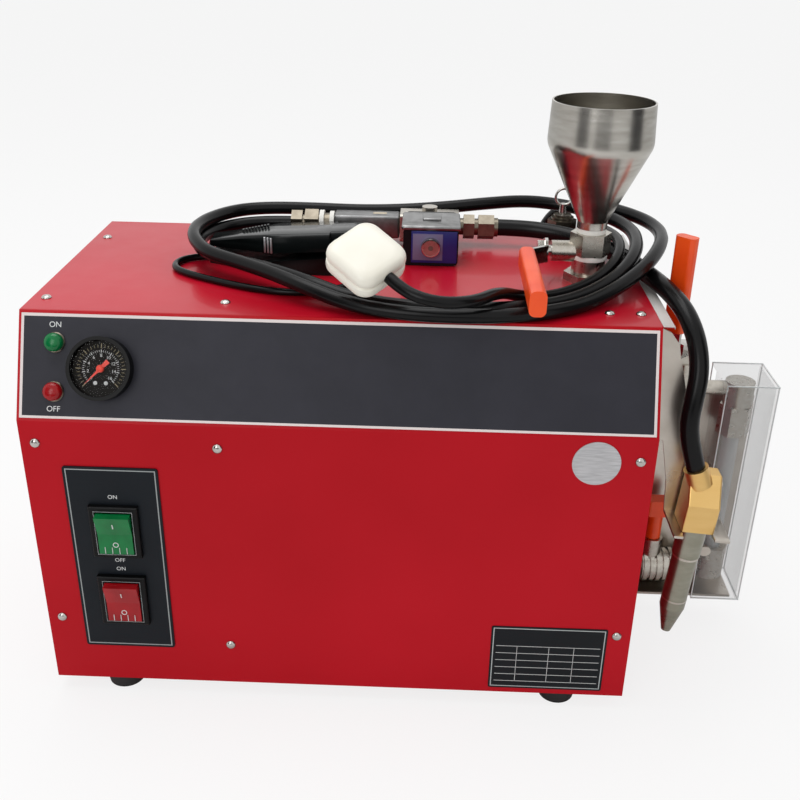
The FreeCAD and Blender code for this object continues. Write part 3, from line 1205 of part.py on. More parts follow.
def plug_pins():
    """Two live blades in a V and one earth blade."""
    blades = []
    half_pitch = d.blade_pitch / 2
    for y, z, angle in [(-half_pitch, d.blade_up, -d.blade_turn), (half_pitch, d.blade_up, d.blade_turn),
                        (0, -d.blade_down, 0)]:
        blade = sized("Box", {"Length": "blade_long", "Width": "blade_thick", "Height": "blade_wide"})
        root = PLUG.multiply(Placement(Vector(d.plug_face / 2, y, z), Rotation(Vector(1, 0, 0), angle)))
        blade.Placement = root.multiply(Placement(Vector(0, -d.blade_thick / 2, -d.blade_wide / 2), Rotation()))
        blades.append(blade)
    finish(gather(*blades), "plug_pins")


def cable_glands():
    """A nut, a tapered strain relief and a shank through the panel, for each lead."""
    pieces = []
    for wide, place in (("mains_wide", MAINS_PLACE), ("pedal_lead_wide", LEAD_PLACE)):
        x, z = place
        nut = hexagon(f"{wide} + 2 * gland_wall", "gland_long / 4", x, REAR, z, REARWARD)
        boot = taper(f"{wide} + 1.5 * gland_wall", f"{wide} + gland_wall / 2", "gland_long", x, REAR, z, REARWARD)
        shank = rod(f"{wide} + gland_wall", "4 * sheet_thick", x, f"{REAR} - 4 * sheet_thick", z, REARWARD)
        pieces.append(fuse(nut, boot, shank))
    finish(gather(*pieces), "cable_glands")


def steam_outlet():
    """A stub out of the rear panel with a riser for the supply hose."""
    stub = rod("pipe_wide", "outlet_out", OUTLET_X, REAR, OUTLET_Z, REARWARD)
    nut = hexagon("outlet_hex", "outlet_out / 3", OUTLET_X, REAR, OUTLET_Z, REARWARD)
    riser = rod("pipe_wide", "outlet_rise", OUTLET_X, f"{REAR} + outlet_out", OUTLET_Z)
    knee = sized("Sphere", {"Radius": "pipe_wide / 2"})
    put(knee, OUTLET_X, f"{REAR} + outlet_out", OUTLET_Z)
    collar = hexagon("outlet_hex - 3", "outlet_rise / 3", OUTLET_X, f"{REAR} + outlet_out",
                     f"{OUTLET_Z} + outlet_rise * 2 / 3")
    finish(fuse(stub, nut, riser, knee, collar), "steam_outlet")


# Where the routes below were laid, and where those places are at the sizes above.
LAID_X = [(-106, -d.pedal_nose), (5, d.pedal_heel), (120, d.housing_long / 2 - 90)]
LAID_Y = [(90, 90), (120, rear)]
LAID_Z = [(50, 50), (280, top - 12)]
END_SHARES = (1, 1, 0.8, 0.6, 0.4, 0.2)


def followed(value, knots):
    """Move a laid place with the knots on either side of it."""
    shifts = [(laid, now - laid) for laid, now in knots]
    if value <= shifts[0][0]:
        return value + shifts[0][1]
    for (low, before), (high, after) in zip(shifts, shifts[1:]):
        if value <= high:
            return value + before + (after - before) * (value - low) / (high - low)
    return value + shifts[-1][1]


def fitted(points, start=None, end=None):
    """A route at the present sizes, with its ends drawn to the fittings that hold them."""
    stops = [Vector(followed(x, LAID_X), followed(y, LAID_Y), followed(z, LAID_Z)) for x, y, z in points]
    if start:
        shift = start - stops[0]
        for k, share in enumerate(END_SHARES):
            stops[k] += shift * share
    if end:
        shift = end - stops[-1]
        for k, share in enumerate(END_SHARES):
            stops[-1 - k] += shift * share
    return stops


def place_of(*texts):
    """A place from three expressions, worked out by the sheet."""
    sheet.set("E1", "=" + texts[0].replace(" ", ""))
    sheet.set("E2", "=" + texts[1].replace(" ", ""))
    sheet.set("E3", "=" + texts[2].replace(" ", ""))
    sheet.recompute()
    return Vector(*[float(sheet.get(cell)) for cell in ("E1", "E2", "E3")])


def route(stops):
    """Straight runs joined by tangent arcs, each as large as its two runs allow."""
    edges = []
    radii = []
    here = stops[0]
    for before, corner, after in zip(stops, stops[1:], stops[2:]):
        way_in = (corner - before).normalize()
        way_out = (after - corner).normalize()
        turn = way_in.getAngle(way_out)
        reach = 0.45 * min((corner - before).Length, (after - corner).Length)
        radius = reach / math.tan(turn / 2)
        start = corner - way_in * reach
        end = corner + way_out * reach
        inward = (way_out - way_in).normalize()
        crown = corner + inward * (radius / math.cos(turn / 2) - radius)
        edges.append(Part.LineSegment(here, start).toShape())
        edges.append(Part.Arc(start, crown, end).toShape())
        radii.append(radius)
        here = end
    edges.append(Part.LineSegment(here, stops[-1]).toShape())
    return Part.Wire(edges), radii


def lead(name, stops, wide):
    """A round tube along its route, checked against its section times its length."""
    wire, radii = route(stops)
    ring = Part.Wire([Part.makeCircle(wide / 2, stops[0], stops[1] - stops[0])])
    tube = wire.makePipeShell([ring], True, False)
    true_volume = math.pi * wide * wide / 4 * wire.Length
    print(f"{name}: {wire.Length:.0f} mm long, volume {tube.Volume / true_volume:.4f} of its section times length")
    print("  radii " + " ".join(f"{radius:.0f}" for radius in radii))
    return solid_feature(tube, name)


def coil(name, place, across, wide, leads):
    """The outside of a lead's put-away turns, two wide and two high, notched where the lead goes in and out."""
    near = f"({across} / 2 - {wide})"
    far = f"({across} / 2 + {wide})"
    outline = [
        (f"{near} + {wide} / 4", 0), (f"{far} - {wide} / 4", 0), (far, f"{wide} / 4"), (far, f"1.75 * {wide}"),
        (f"{far} - {wide} / 4", f"2 * {wide}"), (f"{near} + {wide} / 4", f"2 * {wide}"), (near, f"1.75 * {wide}"),
        (near, f"{wide} / 4"),
    ]
    finish(cut(turned(outline, *place), *leads), name)


# From the valve's left port round the pedal twice, and down to the outlet behind.
SUPPLY_ROUTE = [
    (-52, 80, 307), (-64.2, 80.2, 306.8), (-77.3, 79.4, 306.4), (-90.9, 75.4, 305.9), (-102.6, 67.2, 305.4),
    (-111.2, 55.9, 305), (-115.8, 42.4, 304.7), (-116.1, 28.2, 304.5), (-111.9, 14.6, 304.5),
    (-103.7, 2.9, 304.5), (-92, -6.6, 304.5), (-79, -15.3, 304.5), (-63, -25, 304.5), (-44, -37.5, 304.5),
    (-21, -55, 303.5), (5, -68.5, 299), (34, -76, 297), (66, -79, 297), (98, -78, 297), (126, -72, 297),
    (150, -60, 297), (172, -44, 300), (192, -24, 306), (205, 0, 312.5), (211, 28, 315), (211, 56, 315.5),
    (202, 81, 316), (185, 99, 317), (162, 110, 319), (134, 111, 321), (104, 104, 320), (70, 99, 317),
    (35, 98.5, 314), (1, 97, 313), (-34, 96, 314), (-64, 92.5, 315), (-85, 87.5, 315), (-102.5, 78, 315),
    (-115.3, 64, 314.7), (-122.8, 47, 314), (-125.2, 29.5, 313), (-122, 12, 312), (-112.8, -3.4, 311),
    (-97.8, -15.6, 310), (-72, -31, 308.5), (-48, -48.4, 307.5), (-24, -65.6, 304.5), (6, -81, 299),
    (38, -89, 297), (72, -92, 297), (106, -90, 297), (136, -81, 297), (162, -66, 297.5), (186, -46, 302.5),
    (208, -22, 310), (223, 6, 315.5), (231, 36, 317), (229, 64, 317.5), (217, 88, 318), (199, 107, 318.5),
    (180.3, 122, 317), (167.3, 132.4, 310), (157.4, 140.3, 297.5), (152, 144.5, 281), (152, 144.5, 263.5),
]
# From the valve's right port round the filler, over the edge and down to the hand nozzle.
STEAM_ROUTE = [
    (111, 80, 307), (131, 79.5, 307), (153, 74, 306.3), (174, 64, 304.5), (192, 49, 302), (205, 29, 300.5),
    (212, 5, 300), (218, -19, 300), (225, -42, 298), (232, -61, 291), (237, -76, 278), (238.5, -87, 261.5),
    (236, -93, 244.5), (234.2, -95.2, 226.8), (237.88, -95.5, 209.18), (243.69, -95.5, 193.2),
]
# From the plug over the hose, round the filler, over the rear edge and down into its coil.
MAINS_ROUTE = [
    (32.42, -97.06, 323.79), (41.7, -104.3, 318.1), (54.6, -108.9, 314.2), (67.8, -109, 312.1),
    (80.6, -104, 311), (91, -95, 310), (99.5, -83.3, 309.6), (108, -70.5, 306.2), (118.5, -59.5, 300.4),
    (131.5, -51.5, 296.8), (147, -44, 296.5), (163, -35, 299), (178, -22.5, 303), (190, -6.5, 308.5),
    (196.5, 12, 312.5), (198, 33, 314), (194.5, 53, 313.5), (190, 73, 310), (186.5, 93, 304.5),
    (184.8, 112, 301.6), (184.6, 124, 300.8), (185.8, 135.8, 299.3), (187.5, 150, 294.1),
    (189.2, 161.7, 284.3), (190.6, 169.3, 271), (191.5, 172, 256), (192.4, 172.5, 240), (191.4, 172.4, 214),
    (192.5, 171.4, 174), (191.5, 171.3, 130), (192.6, 172.3, 90), (191.6, 172.2, 60), (192.1, 171.7, 40.8),
    (192.5, 177.2, 27.6), (191.6, 187.3, 17.5), (187.3, 199.7, 12),
]
# From the mains gland down into the same coil.
MAINS_END_ROUTE = [
    (150, 144, 182), (150.1, 156, 182.1), (150, 168.5, 181.8), (150, 180.4, 180.9), (150, 195.1, 176),
    (150, 207.1, 165.9), (150.1, 214.9, 152.4), (150.1, 217.6, 137), (150.6, 218.1, 118),
    (149.6, 218.1, 88), (150.6, 217.1, 60), (150.1, 217.6, 40.8), (155.4, 216.5, 27.6),
    (164.7, 212.5, 17.5), (174.8, 204.1, 12),
]
# From the nose of the pedal, under the hose, behind it and down into its coil.
PEDAL_ROUTE = [
    (-106, 24.6, 294.6), (-113.5, 24, 294.6), (-121, 20.4, 294.6), (-126.3, 15, 294.6),
    (-128.8, 7.2, 294.6), (-127.8, -1, 294.6), (-123.4, -8, 294.6), (-116.3, -14.3, 294.6),
    (-105.5, -21.8, 294.6), (-91, -30, 294.6), (-75, -38.5, 294.6), (-57, -46, 294.6), (-38, -49.5, 294.6),
    (-20, -47.5, 294.6), (-5, -39.5, 294.6), (6, -27, 294.6), (13, -10, 294.6), (16, 10, 294.6),
    (17, 33, 294.6), (19, 56, 294.6), (22, 79, 294.6), (24.5, 101, 294.6), (24.5, 116, 294.8),
    (25, 124.6, 294.9), (25.5, 133.2, 294.2), (26.2, 142, 290.8), (26.8, 149.4, 284.6),
    (27.2, 154.3, 276.2), (27.5, 156, 266.6), (27.9, 156.4, 254), (27.1, 156.4, 234), (28, 155.6, 198),
    (27.2, 155.6, 148), (28, 156.5, 98), (27.3, 156.5, 64), (28.1, 155.7, 45), (27.3, 155.7, 32.5),
    (27.7, 156.1, 23.5), (28, 159.1, 16.2), (27.6, 164.7, 10.5), (25.6, 171.8, 7.5),
]
# From the pedal's gland down into the same coil.
PEDAL_END_ROUTE = [
    (2, 144, 200), (2.05, 150.5, 200.1), (2, 157.3, 199.9), (2, 164.4, 199.4), (2, 172.3, 196.7),
    (2, 179, 191.1), (1.9, 183.3, 183.6), (1.8, 184.8, 175), (2.1, 185.2, 162), (1.3, 185.2, 140),
    (2, 184.4, 104), (1.2, 184.4, 68), (1.9, 185.2, 46), (1.1, 185.2, 32.5), (1.5, 184.8, 23.5),
    (4.5, 184.2, 16.2), (9.7, 182.1, 10.5), (15.6, 177.8, 7.5),
]


def hoses():
    left_port = place_of(f"{BODY_X} - union_left", LINE_Y, LINE_Z)
    outlet = place_of(OUTLET_X, f"{REAR} + outlet_out", f"{OUTLET_Z} + outlet_rise")
    lead("supply_hose", fitted(SUPPLY_ROUTE, left_port, outlet), d.supply_wide)
    right_port = place_of(f"{BODY_X} + body_long + union_right", LINE_Y, LINE_Z)
    lean = math.radians(d.ferrule_lean)
    root = place_of(NOZZLE_X, NOZZLE_Y, f"{NOZZLE_Z} + ferrule_rise")
    ferrule = root + Vector(-math.sin(lean), 0, math.cos(lean)) * (d.ferrule_long + HOSE_SEAT)
    lead("steam_hose", fitted(STEAM_ROUTE, right_port, ferrule), d.steam_wide)


def leads():
    """Each lead in two stretches with its coil between them."""
    edge = PLUG.multVec(Vector(0, d.plug_face / 2, 0))
    first = lead("mains_lead", fitted(MAINS_ROUTE, edge), d.mains_wide)
    gland = place_of(MAINS_PLACE[0], f"{REAR} + gland_long", MAINS_PLACE[1])
    second = lead("mains_lead_end", fitted(MAINS_END_ROUTE, gland), d.mains_wide)
    coil("mains_coil", (f"{RIGHT} - mains_coil_in", f"{REAR} + mains_coil_out", 0), "mains_coil_wide", "mains_wide",
         [first, second])
    nose = place_of("-pedal_nose", "pedal_back - 5.4", f"{TOP} + 2.6")
    first = lead("pedal_cable", fitted(PEDAL_ROUTE, nose), d.pedal_lead_wide)
    gland = place_of(LEAD_PLACE[0], f"{REAR} + gland_long", LEAD_PLACE[1])
    second = lead("pedal_cable_end", fitted(PEDAL_END_ROUTE, gland), d.pedal_lead_wide)
    coil("pedal_coil", ("-pedal_coil_left", f"{REAR} + pedal_coil_out", 0), "pedal_coil_wide", "pedal_lead_wide",
         [first, second])


# ---------------------------------------------------------------- the whole machine

base_pan()
side_panel("left_side_panel", LEFT, [])
side_panel("right_side_panel", f"{RIGHT} - sheet_thick", cock_holes())
rear_panel()
front_cover()
top_cover()
feet()
panel_screws()
control_overlay()
pressure_gauge()
lamp("green_lamp", "green_up")
lamp("red_lamp", "red_up")
switch_plate()
finish(gather(switch_frame("green_high"), switch_frame("red_high")), "rocker_frames")
rocker("green_rocker", "green_high")
rocker("red_rocker", "red_high")
labels()
boiler()
heating_element()
finish(gather(pressure_switch(), contactor()), "inner_controls")
inner_pipes()
funnel()
filler_valve()
filler_lever()
safety_valve()
steam_valve()
valve_unions()
pedal_base()
pedal_treadle()
mains_plug()
plug_pins()
cable_glands()
steam_outlet()
upper_cock()
lower_cock()
gauge_glass()
upper_lever()
lower_handle()
gauge_bracket()
gauge_guard()
handpiece_block()
nozzle_tube()
nozzle_holder()
hoses()
leads()
doc.recompute()

faults = [item.Name for item in doc.Objects if {"Invalid", "Error"} & set(item.State)]
faults += [item.Label for item in parts if item.Shape.isNull() or not item.Shape.isValid()]
if faults:
    raise RuntimeError("these did not build: " + ", ".join(faults))
os.makedirs("parts", exist_ok=True)
for item in parts:
    item.Shape.exportStep(f"parts/{item.Label}.step")
print(len(parts), "sub-parts")
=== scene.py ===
# %% [markdown]
# # Dressing a bench steam cleaner
# The machine is a red sheet-steel cabinet with a boiler inside. A funnel and a ball valve fill it, a
# glass shows its level, and a brass hand nozzle hangs at its side. The solids come from the CAD frame.
# This file gives them their finishes, and adds the small things that a maker prints, casts or screws on.

# %% Load the frame
import math

import bmesh
import bpy
from mathutils import Matrix, Vector


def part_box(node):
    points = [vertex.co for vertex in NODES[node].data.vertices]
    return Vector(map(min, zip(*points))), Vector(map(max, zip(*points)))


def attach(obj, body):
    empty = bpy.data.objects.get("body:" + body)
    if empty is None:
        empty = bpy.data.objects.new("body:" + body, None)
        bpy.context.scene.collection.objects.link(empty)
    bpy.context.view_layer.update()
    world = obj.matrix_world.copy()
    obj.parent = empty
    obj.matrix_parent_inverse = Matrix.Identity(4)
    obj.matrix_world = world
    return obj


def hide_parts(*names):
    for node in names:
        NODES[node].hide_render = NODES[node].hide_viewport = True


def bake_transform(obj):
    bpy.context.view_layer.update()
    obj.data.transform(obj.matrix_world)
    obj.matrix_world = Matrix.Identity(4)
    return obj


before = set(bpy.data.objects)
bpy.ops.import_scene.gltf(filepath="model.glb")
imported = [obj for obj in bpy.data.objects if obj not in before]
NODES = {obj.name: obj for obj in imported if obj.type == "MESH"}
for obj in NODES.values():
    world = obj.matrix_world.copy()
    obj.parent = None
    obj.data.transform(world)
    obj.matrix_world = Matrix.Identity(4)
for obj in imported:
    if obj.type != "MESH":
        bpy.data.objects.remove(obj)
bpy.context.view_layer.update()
MM = 0.001

# %% [markdown]
# ## Camera
# The camera stands a little to the right of the middle, at arm's length above the bench, and looks down.
# A Track To constraint could aim it. Its axes are worked out from three angles instead, so that each
# angle can be changed by itself and nothing has to be solved first.

# %% Camera
CAMERA_PLACE = Vector((56.9, -701.8, 531.4)) * MM
CAMERA_TURN = math.radians(-1.5)
CAMERA_DOWN = math.radians(25.85)
CAMERA_ROLL = math.radians(-1.1)


def show(name, data):
    """Make an object of some data and put it in the scene."""
    made = bpy.data.objects.new(name, data)
    bpy.context.scene.collection.objects.link(made)
    return made


ahead = Vector((
    math.sin(CAMERA_TURN) * math.cos(CAMERA_DOWN),
    math.cos(CAMERA_TURN) * math.cos(CAMERA_DOWN),
    -math.sin(CAMERA_DOWN),
))
level = Vector((math.cos(CAMERA_TURN), -math.sin(CAMERA_TURN), 0))
across = level * math.cos(CAMERA_ROLL) + ahead.cross(level) * math.sin(CAMERA_ROLL)
upward = across.cross(ahead)

camera_data = bpy.data.cameras.new("camera")
camera_data.sensor_width = 36
camera_data.lens = 45.44
camera = show("camera", camera_data)
camera.matrix_world = Matrix((
    (across.x, upward.x, -ahead.x, CAMERA_PLACE.x),
    (across.y, upward.y, -ahead.y, CAMERA_PLACE.y),
    (across.z, upward.z, -ahead.z, CAMERA_PLACE.z),
    (0, 0, 0, 1),
))
bpy.context.scene.camera = camera
print("camera looks", tuple(round(v, 3) for v in ahead))

# %% [markdown]
# ## Small tools for materials
# A finish is a chain of nodes. It could be wired by hand in the Shader Editor, but a script is easier to
# repeat. These helpers add a node, set its sockets by name and link it, so that each finish below reads
# as a short recipe. `paint` turns screen colours into the linear ones that Blender mixes.

# %% Node tools
class Recipe:
    """Short ways to add nodes to a tree and feed them."""

    def __init__(self, tree):
        self.tree = tree

    def add(self, kind, links=(), **settings):
        """A node with its settings, or its sockets' values, and its links by socket name."""
        made = self.tree.nodes.new(kind)
        for name, value in settings.items():
            if hasattr(made, name):
                setattr(made, name, value)
            else:
                made.inputs[name.replace("_", " ")].default_value = value
        for socket, source in dict(links).items():
            self.tree.links.new(source, made.inputs[socket])
        return made

    def feed(self, made, values):
        """Set numbers on a node's first sockets, link the rest, and give its result."""
        for socket, value in zip(made.inputs, values):
            if isinstance(value, (int, float)):
                socket.default_value = value
            else:
                self.tree.links.new(value, socket)
        return made.outputs[0]

    def sums(self, operation, *values):
        return self.feed(self.add("ShaderNodeMath", operation=operation), values)


# %% Material tools
def paint(red, green, blue):
    """A screen colour, 0 to 255 a channel, as linear light."""
    return tuple(((v / 255 + 0.055) / 1.055) ** 2.4 for v in (red, green, blue)) + (1,)


class Finish(Recipe):
    """A material with a Principled shader, and short ways to drive its sockets."""

    def __init__(self, name, **values):
        self.material = bpy.data.materials.new(name)
        self.material.use_nodes = True
        super().__init__(self.material.node_tree)
        self.shader = self.tree.nodes["Principled BSDF"]
        self.place = self.add("ShaderNodeTexCoord").outputs["Object"]
        for socket, value in values.items():
            self.shader.inputs[socket.replace("_", " ")].default_value = value

    def drive(self, socket, source):
        self.tree.links.new(source, self.shader.inputs[socket])

    def noise(self, scale, detail=2.0, stretch=(1, 1, 1)):
        """Noise on the object's own coordinates, stretched for brushed or drawn surfaces."""
        mapped = self.add("ShaderNodeMapping", {"Vector": self.place}, Scale=stretch)
        return self.add("ShaderNodeTexNoise", {"Vector": mapped.outputs[0]}, Scale=scale,
                        Detail=detail).outputs["Fac"]

    def ramp(self, source, dark, light, start=0.3, stop=0.7):
        """Colours along a 0 to 1 signal, from a dark one to a light one."""
        made = self.add("ShaderNodeValToRGB", {"Fac": source})
        for element, place, colour in zip(made.color_ramp.elements, (start, stop), (dark, light)):
            element.position = place
            element.color = colour
        return made.outputs["Color"]

    def colour(self, source, dark, light, *stops):
        """A base colour that wanders between two screen colours."""
        self.drive("Base Color", self.ramp(source, paint(*dark), paint(*light), *stops))

    def bump(self, source, height, strength=1.0):
        made = self.add("ShaderNodeBump", {"Height": source}, Distance=height, Strength=strength)
        self.drive("Normal", made.outputs[0])

    def spread(self, source, low, high):
        """Roughness that wanders between two values."""
        made = self.add("ShaderNodeMapRange", {"Value": source}, To_Min=low, To_Max=high)
        self.drive("Roughness", made.outputs[0])


def wear(finish, *names):
    """Give CAD solids their finish in place of the plain one."""
    for name in names:
        solid = NODES[name].data
        solid.materials.clear()
        solid.materials.append(finish)
    return finish


# %% [markdown]
# ## Enamel and film
# The cabinet is powder-coated: a gloss over a colour that wanders slightly, with the faint skin of an
# orange. The control band is a printed film, dark slate with a pale line along its edge. The line could be
# a thin piece of its own. It is worked out from the film's own rectangle instead, so that it stays flat,
# and parallel with the edge at any size.

# %% Enamel
def enamel(name, deep, light, shine, coat):
    made = Finish(name, Coat_Weight=coat, Coat_Roughness=0.06, Specular_IOR_Level=shine)
    made.colour(made.noise(5.0, 3.0), deep, light)
    made.spread(made.noise(60.0), 0.26, 0.38)
    made.bump(made.noise(900.0, 1.0), 0.00006, 0.35)
    return made.material


wear(enamel("red_enamel", (172, 10, 24), (186, 16, 32), shine=0.12, coat=0.0),
     "front_cover", "left_side_panel", "right_side_panel", "rear_panel", "base_pan")
wear(enamel("top_enamel", (176, 10, 32), (196, 18, 44), shine=0.2, coat=0.22), "top_cover")
print("cabinet painted")

# %% Printed film
COLOUR_A, COLOUR_B, COLOUR_RESULT = 6, 7, 2  # where a Mix node keeps its colour sockets


def edge_gap(made, low, high):
    """Distance in metres from a rectangle's edge, over X and Z: below zero inside it."""
    parts = made.add("ShaderNodeSeparateXYZ", {"Vector": made.place})
    gaps = []
    for axis in ("X", "Z"):
        start, stop = getattr(low, axis.lower()), getattr(high, axis.lower())
        off = made.sums("ABSOLUTE", made.sums("SUBTRACT", parts.outputs[axis], (start + stop) / 2))
        gaps.append(made.sums("SUBTRACT", off, (stop - start) / 2))
    return made.sums("MAXIMUM", *gaps)


def printed(name, node, colour, line_colour, inset, wide):
    """A printed sheet with one line round it, for the solid of that name."""
    made = Finish(name, Specular_IOR_Level=0.18)
    gap = edge_gap(made, *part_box(node))
    line = made.sums("MULTIPLY", made.sums("LESS_THAN", gap, -inset),
                     made.sums("GREATER_THAN", gap, -inset - wide))
    deep = paint(*colour)
    mottled = made.ramp(made.noise(40.0, 4.0), deep, tuple(v * 1.18 for v in deep[:3]) + (1,), 0.35)
    mixed = made.add("ShaderNodeMix", {"Factor": line}, data_type="RGBA")
    made.tree.links.new(mottled, mixed.inputs[COLOUR_A])
    mixed.inputs[COLOUR_B].default_value = paint(*line_colour)
    made.drive("Base Color", mixed.outputs[COLOUR_RESULT])
    made.spread(made.noise(300.0), 0.4, 0.55)
    made.bump(made.noise(2500.0, 1.0), 0.00002, 0.4)
    wear(made.material, node)
    print(name, "on", node)


printed("slate_film", "control_overlay", (43, 43, 50), (222, 212, 210), inset=-0.001, wide=0.0028)
printed("black_film", "switch_plate", (15, 20, 26), (150, 155, 155), inset=0.0017, wide=0.0008)
printed("plate_film", "rating_plate", (16, 20, 24), (176, 182, 182), inset=0.0014, wide=0.0007)

# %% [markdown]
# ## Metals
# Stainless sheet is brushed, so its noise is stretched across the brushing. Cast valve bodies are mottled,
# and polished parts are nearly smooth, with a few dull patches where hands have been. Brushed metal could
# come from an image, but noise needs no file and has no seam.

# %% Metals
FINE = 0.000002  # depth of a grain that only softens reflections, in metres


def metal(name, dark, light, smooth, rough, stretch=(1, 1, 1), grain=120.0, depth=0.00003):
    made = Finish(name, Metallic=1.0)
    streaks = made.noise(grain, 4.0, stretch)
    made.colour(streaks, dark, light)
    made.spread(made.noise(grain * 0.6, 3.0, stretch), smooth, rough)
    made.bump(streaks, depth, 0.3)
    return made.material


bright_steel = wear(
    metal("bright_steel", (168, 165, 160), (206, 204, 200), 0.1, 0.22, grain=90.0),
    "filler_valve_lever", "safety_valve_ring", "upper_cock_lever", "steam_outlet", "pedal_pin")
nickel = wear(metal("nickel", (104, 97, 86), (124, 117, 105), 0.26, 0.36, grain=160.0, depth=FINE),
              "valve_unions", "safety_valve_body")
sheet_steel = wear(
    metal("sheet_steel", (182, 174, 164), (198, 191, 182), 0.24, 0.34, grain=50.0, depth=FINE),
    "nozzle_holder", "gauge_bracket", "heating_element")
disc_silver = wear(metal("disc_silver", (176, 176, 178), (204, 204, 206), 0.36, 0.5, (1, 1, 10), 90.0),
                   "round_label")
yoke_steel = metal("yoke_steel", (112, 112, 112), (146, 146, 146), 0.3, 0.44, grain=140.0)
blade_nickel = metal("blade_nickel", (150, 146, 136), (182, 178, 168), 0.2, 0.34)
wear(metal("spun_steel", (168, 164, 156), (196, 193, 186), 0.2, 0.3, (1, 1, 6), 40.0, 0.00001),
     "funnel", "boiler_tank")
wear(metal("cast_steel", (176, 170, 160), (192, 187, 178), 0.24, 0.32, grain=300.0, depth=FINE),
     "filler_valve_body", "steam_valve_body", "lower_gauge_cock", "upper_gauge_cock", "inner_pipes")
wear(metal("nozzle_steel", (138, 136, 122), (154, 152, 139), 0.24, 0.34, (1, 1, 3), 60.0, FINE),
     "nozzle_tube")
wear(metal("milled_brass", (224, 184, 116), (230, 192, 126), 0.32, 0.42, (1, 1, 4), 40.0, FINE),
     "handpiece_block")
print(len(bpy.data.materials), "finishes so far")

# %% [markdown]
# ## Rubber and plastic
# Hose rubber is black with a grey bloom and a very fine grain. The pedal is a hard moulding with a soft
# gloss, the valve grips are dipped in orange vinyl, and the coil is potted in resin. One recipe serves them
# all, because only the colour, the gloss and the grain differ. Inks and tapes use it too.

# %% Rubber and plastic
def moulded(name, deep, light, smooth, rough, grain=700.0, depth=0.00004, **values):
    made = Finish(name, **values)
    made.colour(made.noise(24.0, 5.0), deep, light, 0.35, 0.75)
    made.spread(made.noise(90.0, 3.0), smooth, rough)
    made.bump(made.noise(grain, 2.0), depth, 0.4)
    return made.material


hose_rubber = moulded("hose_rubber", (8, 8, 9), (16, 16, 17), 0.2, 0.3, 1400.0, 0.00002,
                      Specular_IOR_Level=0.18)
pedal_plastic = wear(
    moulded("pedal_plastic", (6, 10, 10), (12, 18, 18), 0.14, 0.22, 900.0, 0.00001, Specular_IOR_Level=0.22),
    "pedal_base")
black_plastic = wear(
    moulded("black_plastic", (7, 7, 8), (14, 14, 15), 0.25, 0.36, Specular_IOR_Level=0.15),
    "rocker_frames", "cable_glands", "inner_controls")
needle_red = wear(moulded("needle_red", (226, 56, 34), (240, 76, 52), 0.3, 0.42), "gauge_needle")
white_nylon = moulded("white_nylon", (232, 228, 214), (244, 241, 230), 0.26, 0.38, 600.0, 0.00002)
lip_grey = moulded("lip_grey", (178, 174, 170), (204, 200, 196), 0.3, 0.42)
wear(moulded("foot_rubber", (16, 16, 17), (34, 33, 33), 0.5, 0.7), "feet")
wear(moulded("bezel_black", (5, 5, 5), (9, 9, 9), 0.2, 0.28, Specular_IOR_Level=0.1), "gauge_case")
wear(moulded("coil_resin", (10, 10, 13), (18, 18, 22), 0.3, 0.45, 500.0, 0.00006, Specular_IOR_Level=0.2),
     "solenoid_coil")
wear(moulded("orange_vinyl", (232, 66, 6), (248, 88, 18), 0.3, 0.42, 260.0, 0.00005),
     "filler_lever_grip", "upper_cock_grip", "lower_cock_handle")
wear(moulded("dial_black", (26, 24, 22), (36, 33, 30), 0.5, 0.6, 400.0, Specular_IOR_Level=0.1), "gauge_dial")

# %% Inks, tape and labels
white_tape = moulded("white_tape", (226, 224, 218), (246, 245, 240), 0.5, 0.65, 1500.0, 0.0001)
copper_face = moulded("copper_face", (104, 86, 80), (132, 112, 102), 0.28, 0.38, 300.0, FINE, Metallic=0.35)
print_white = moulded("print_white", (206, 208, 208), (228, 229, 228), 0.4, 0.55)
print_cream = moulded("print_cream", (150, 138, 104), (178, 164, 126), 0.4, 0.55)
plate_blue = moulded("plate_blue", (26, 30, 104), (36, 42, 126), 0.28, 0.4, 900.0, 0.00002)
plate_lilac = moulded("plate_lilac", (104, 98, 132), (128, 122, 156), 0.3, 0.42, 900.0, 0.00002)
edge_white = moulded("edge_white", (226, 232, 232), (246, 250, 250), 0.2, 0.3)
print(len(bpy.data.materials), "finishes so far")

# %% [markdown]
# ## Clear parts
# The guard is acrylic sheet, which is clear on its faces and catches light on its cut edges. Full
# transmission would bend and darken what stands behind such a thin wall. Its faces let light straight by
# instead, and show a little of their own colour. The lamp lenses and the rockers are tinted plastic.

# %% Clear parts
def clear(name, deep, light, solid):
    """A see-through finish: solid says how much of its own colour shows."""
    made = Finish(name, Alpha=solid, IOR=1.49)
    made.colour(made.noise(12.0), deep, light)
    made.spread(made.noise(40.0), 0.02, 0.08)
    return made.material


def tinted(name, deep, light):
    made = Finish(name, Transmission_Weight=0.1, IOR=1.5, Specular_IOR_Level=0.3)
    made.colour(made.noise(60.0), deep, light)
    made.spread(made.noise(120.0), 0.12, 0.22)
    return made.material


wear(clear("gauge_tube_glass", (206, 212, 212), (238, 242, 242), 0.45), "gauge_glass")
wear(clear("guard_acrylic", (138, 141, 142), (158, 160, 160), 0.17), "gauge_guard")
wear(clear("dial_glass", (24, 24, 26), (34, 34, 36), 0.03), "gauge_lens")
splash_clear = clear("splash_clear", (150, 156, 156), (190, 196, 196), 0.6)
wear(tinted("green_key", (4, 104, 52), (10, 128, 66)), "green_rocker")
wear(tinted("red_key", (146, 12, 20), (168, 20, 28)), "red_rocker")
green_lens = tinted("green_lens", (0, 98, 50), (8, 124, 66))
red_lens = tinted("red_lens", (140, 8, 14), (168, 18, 24))
print(len(bpy.data.materials), "finishes in all")

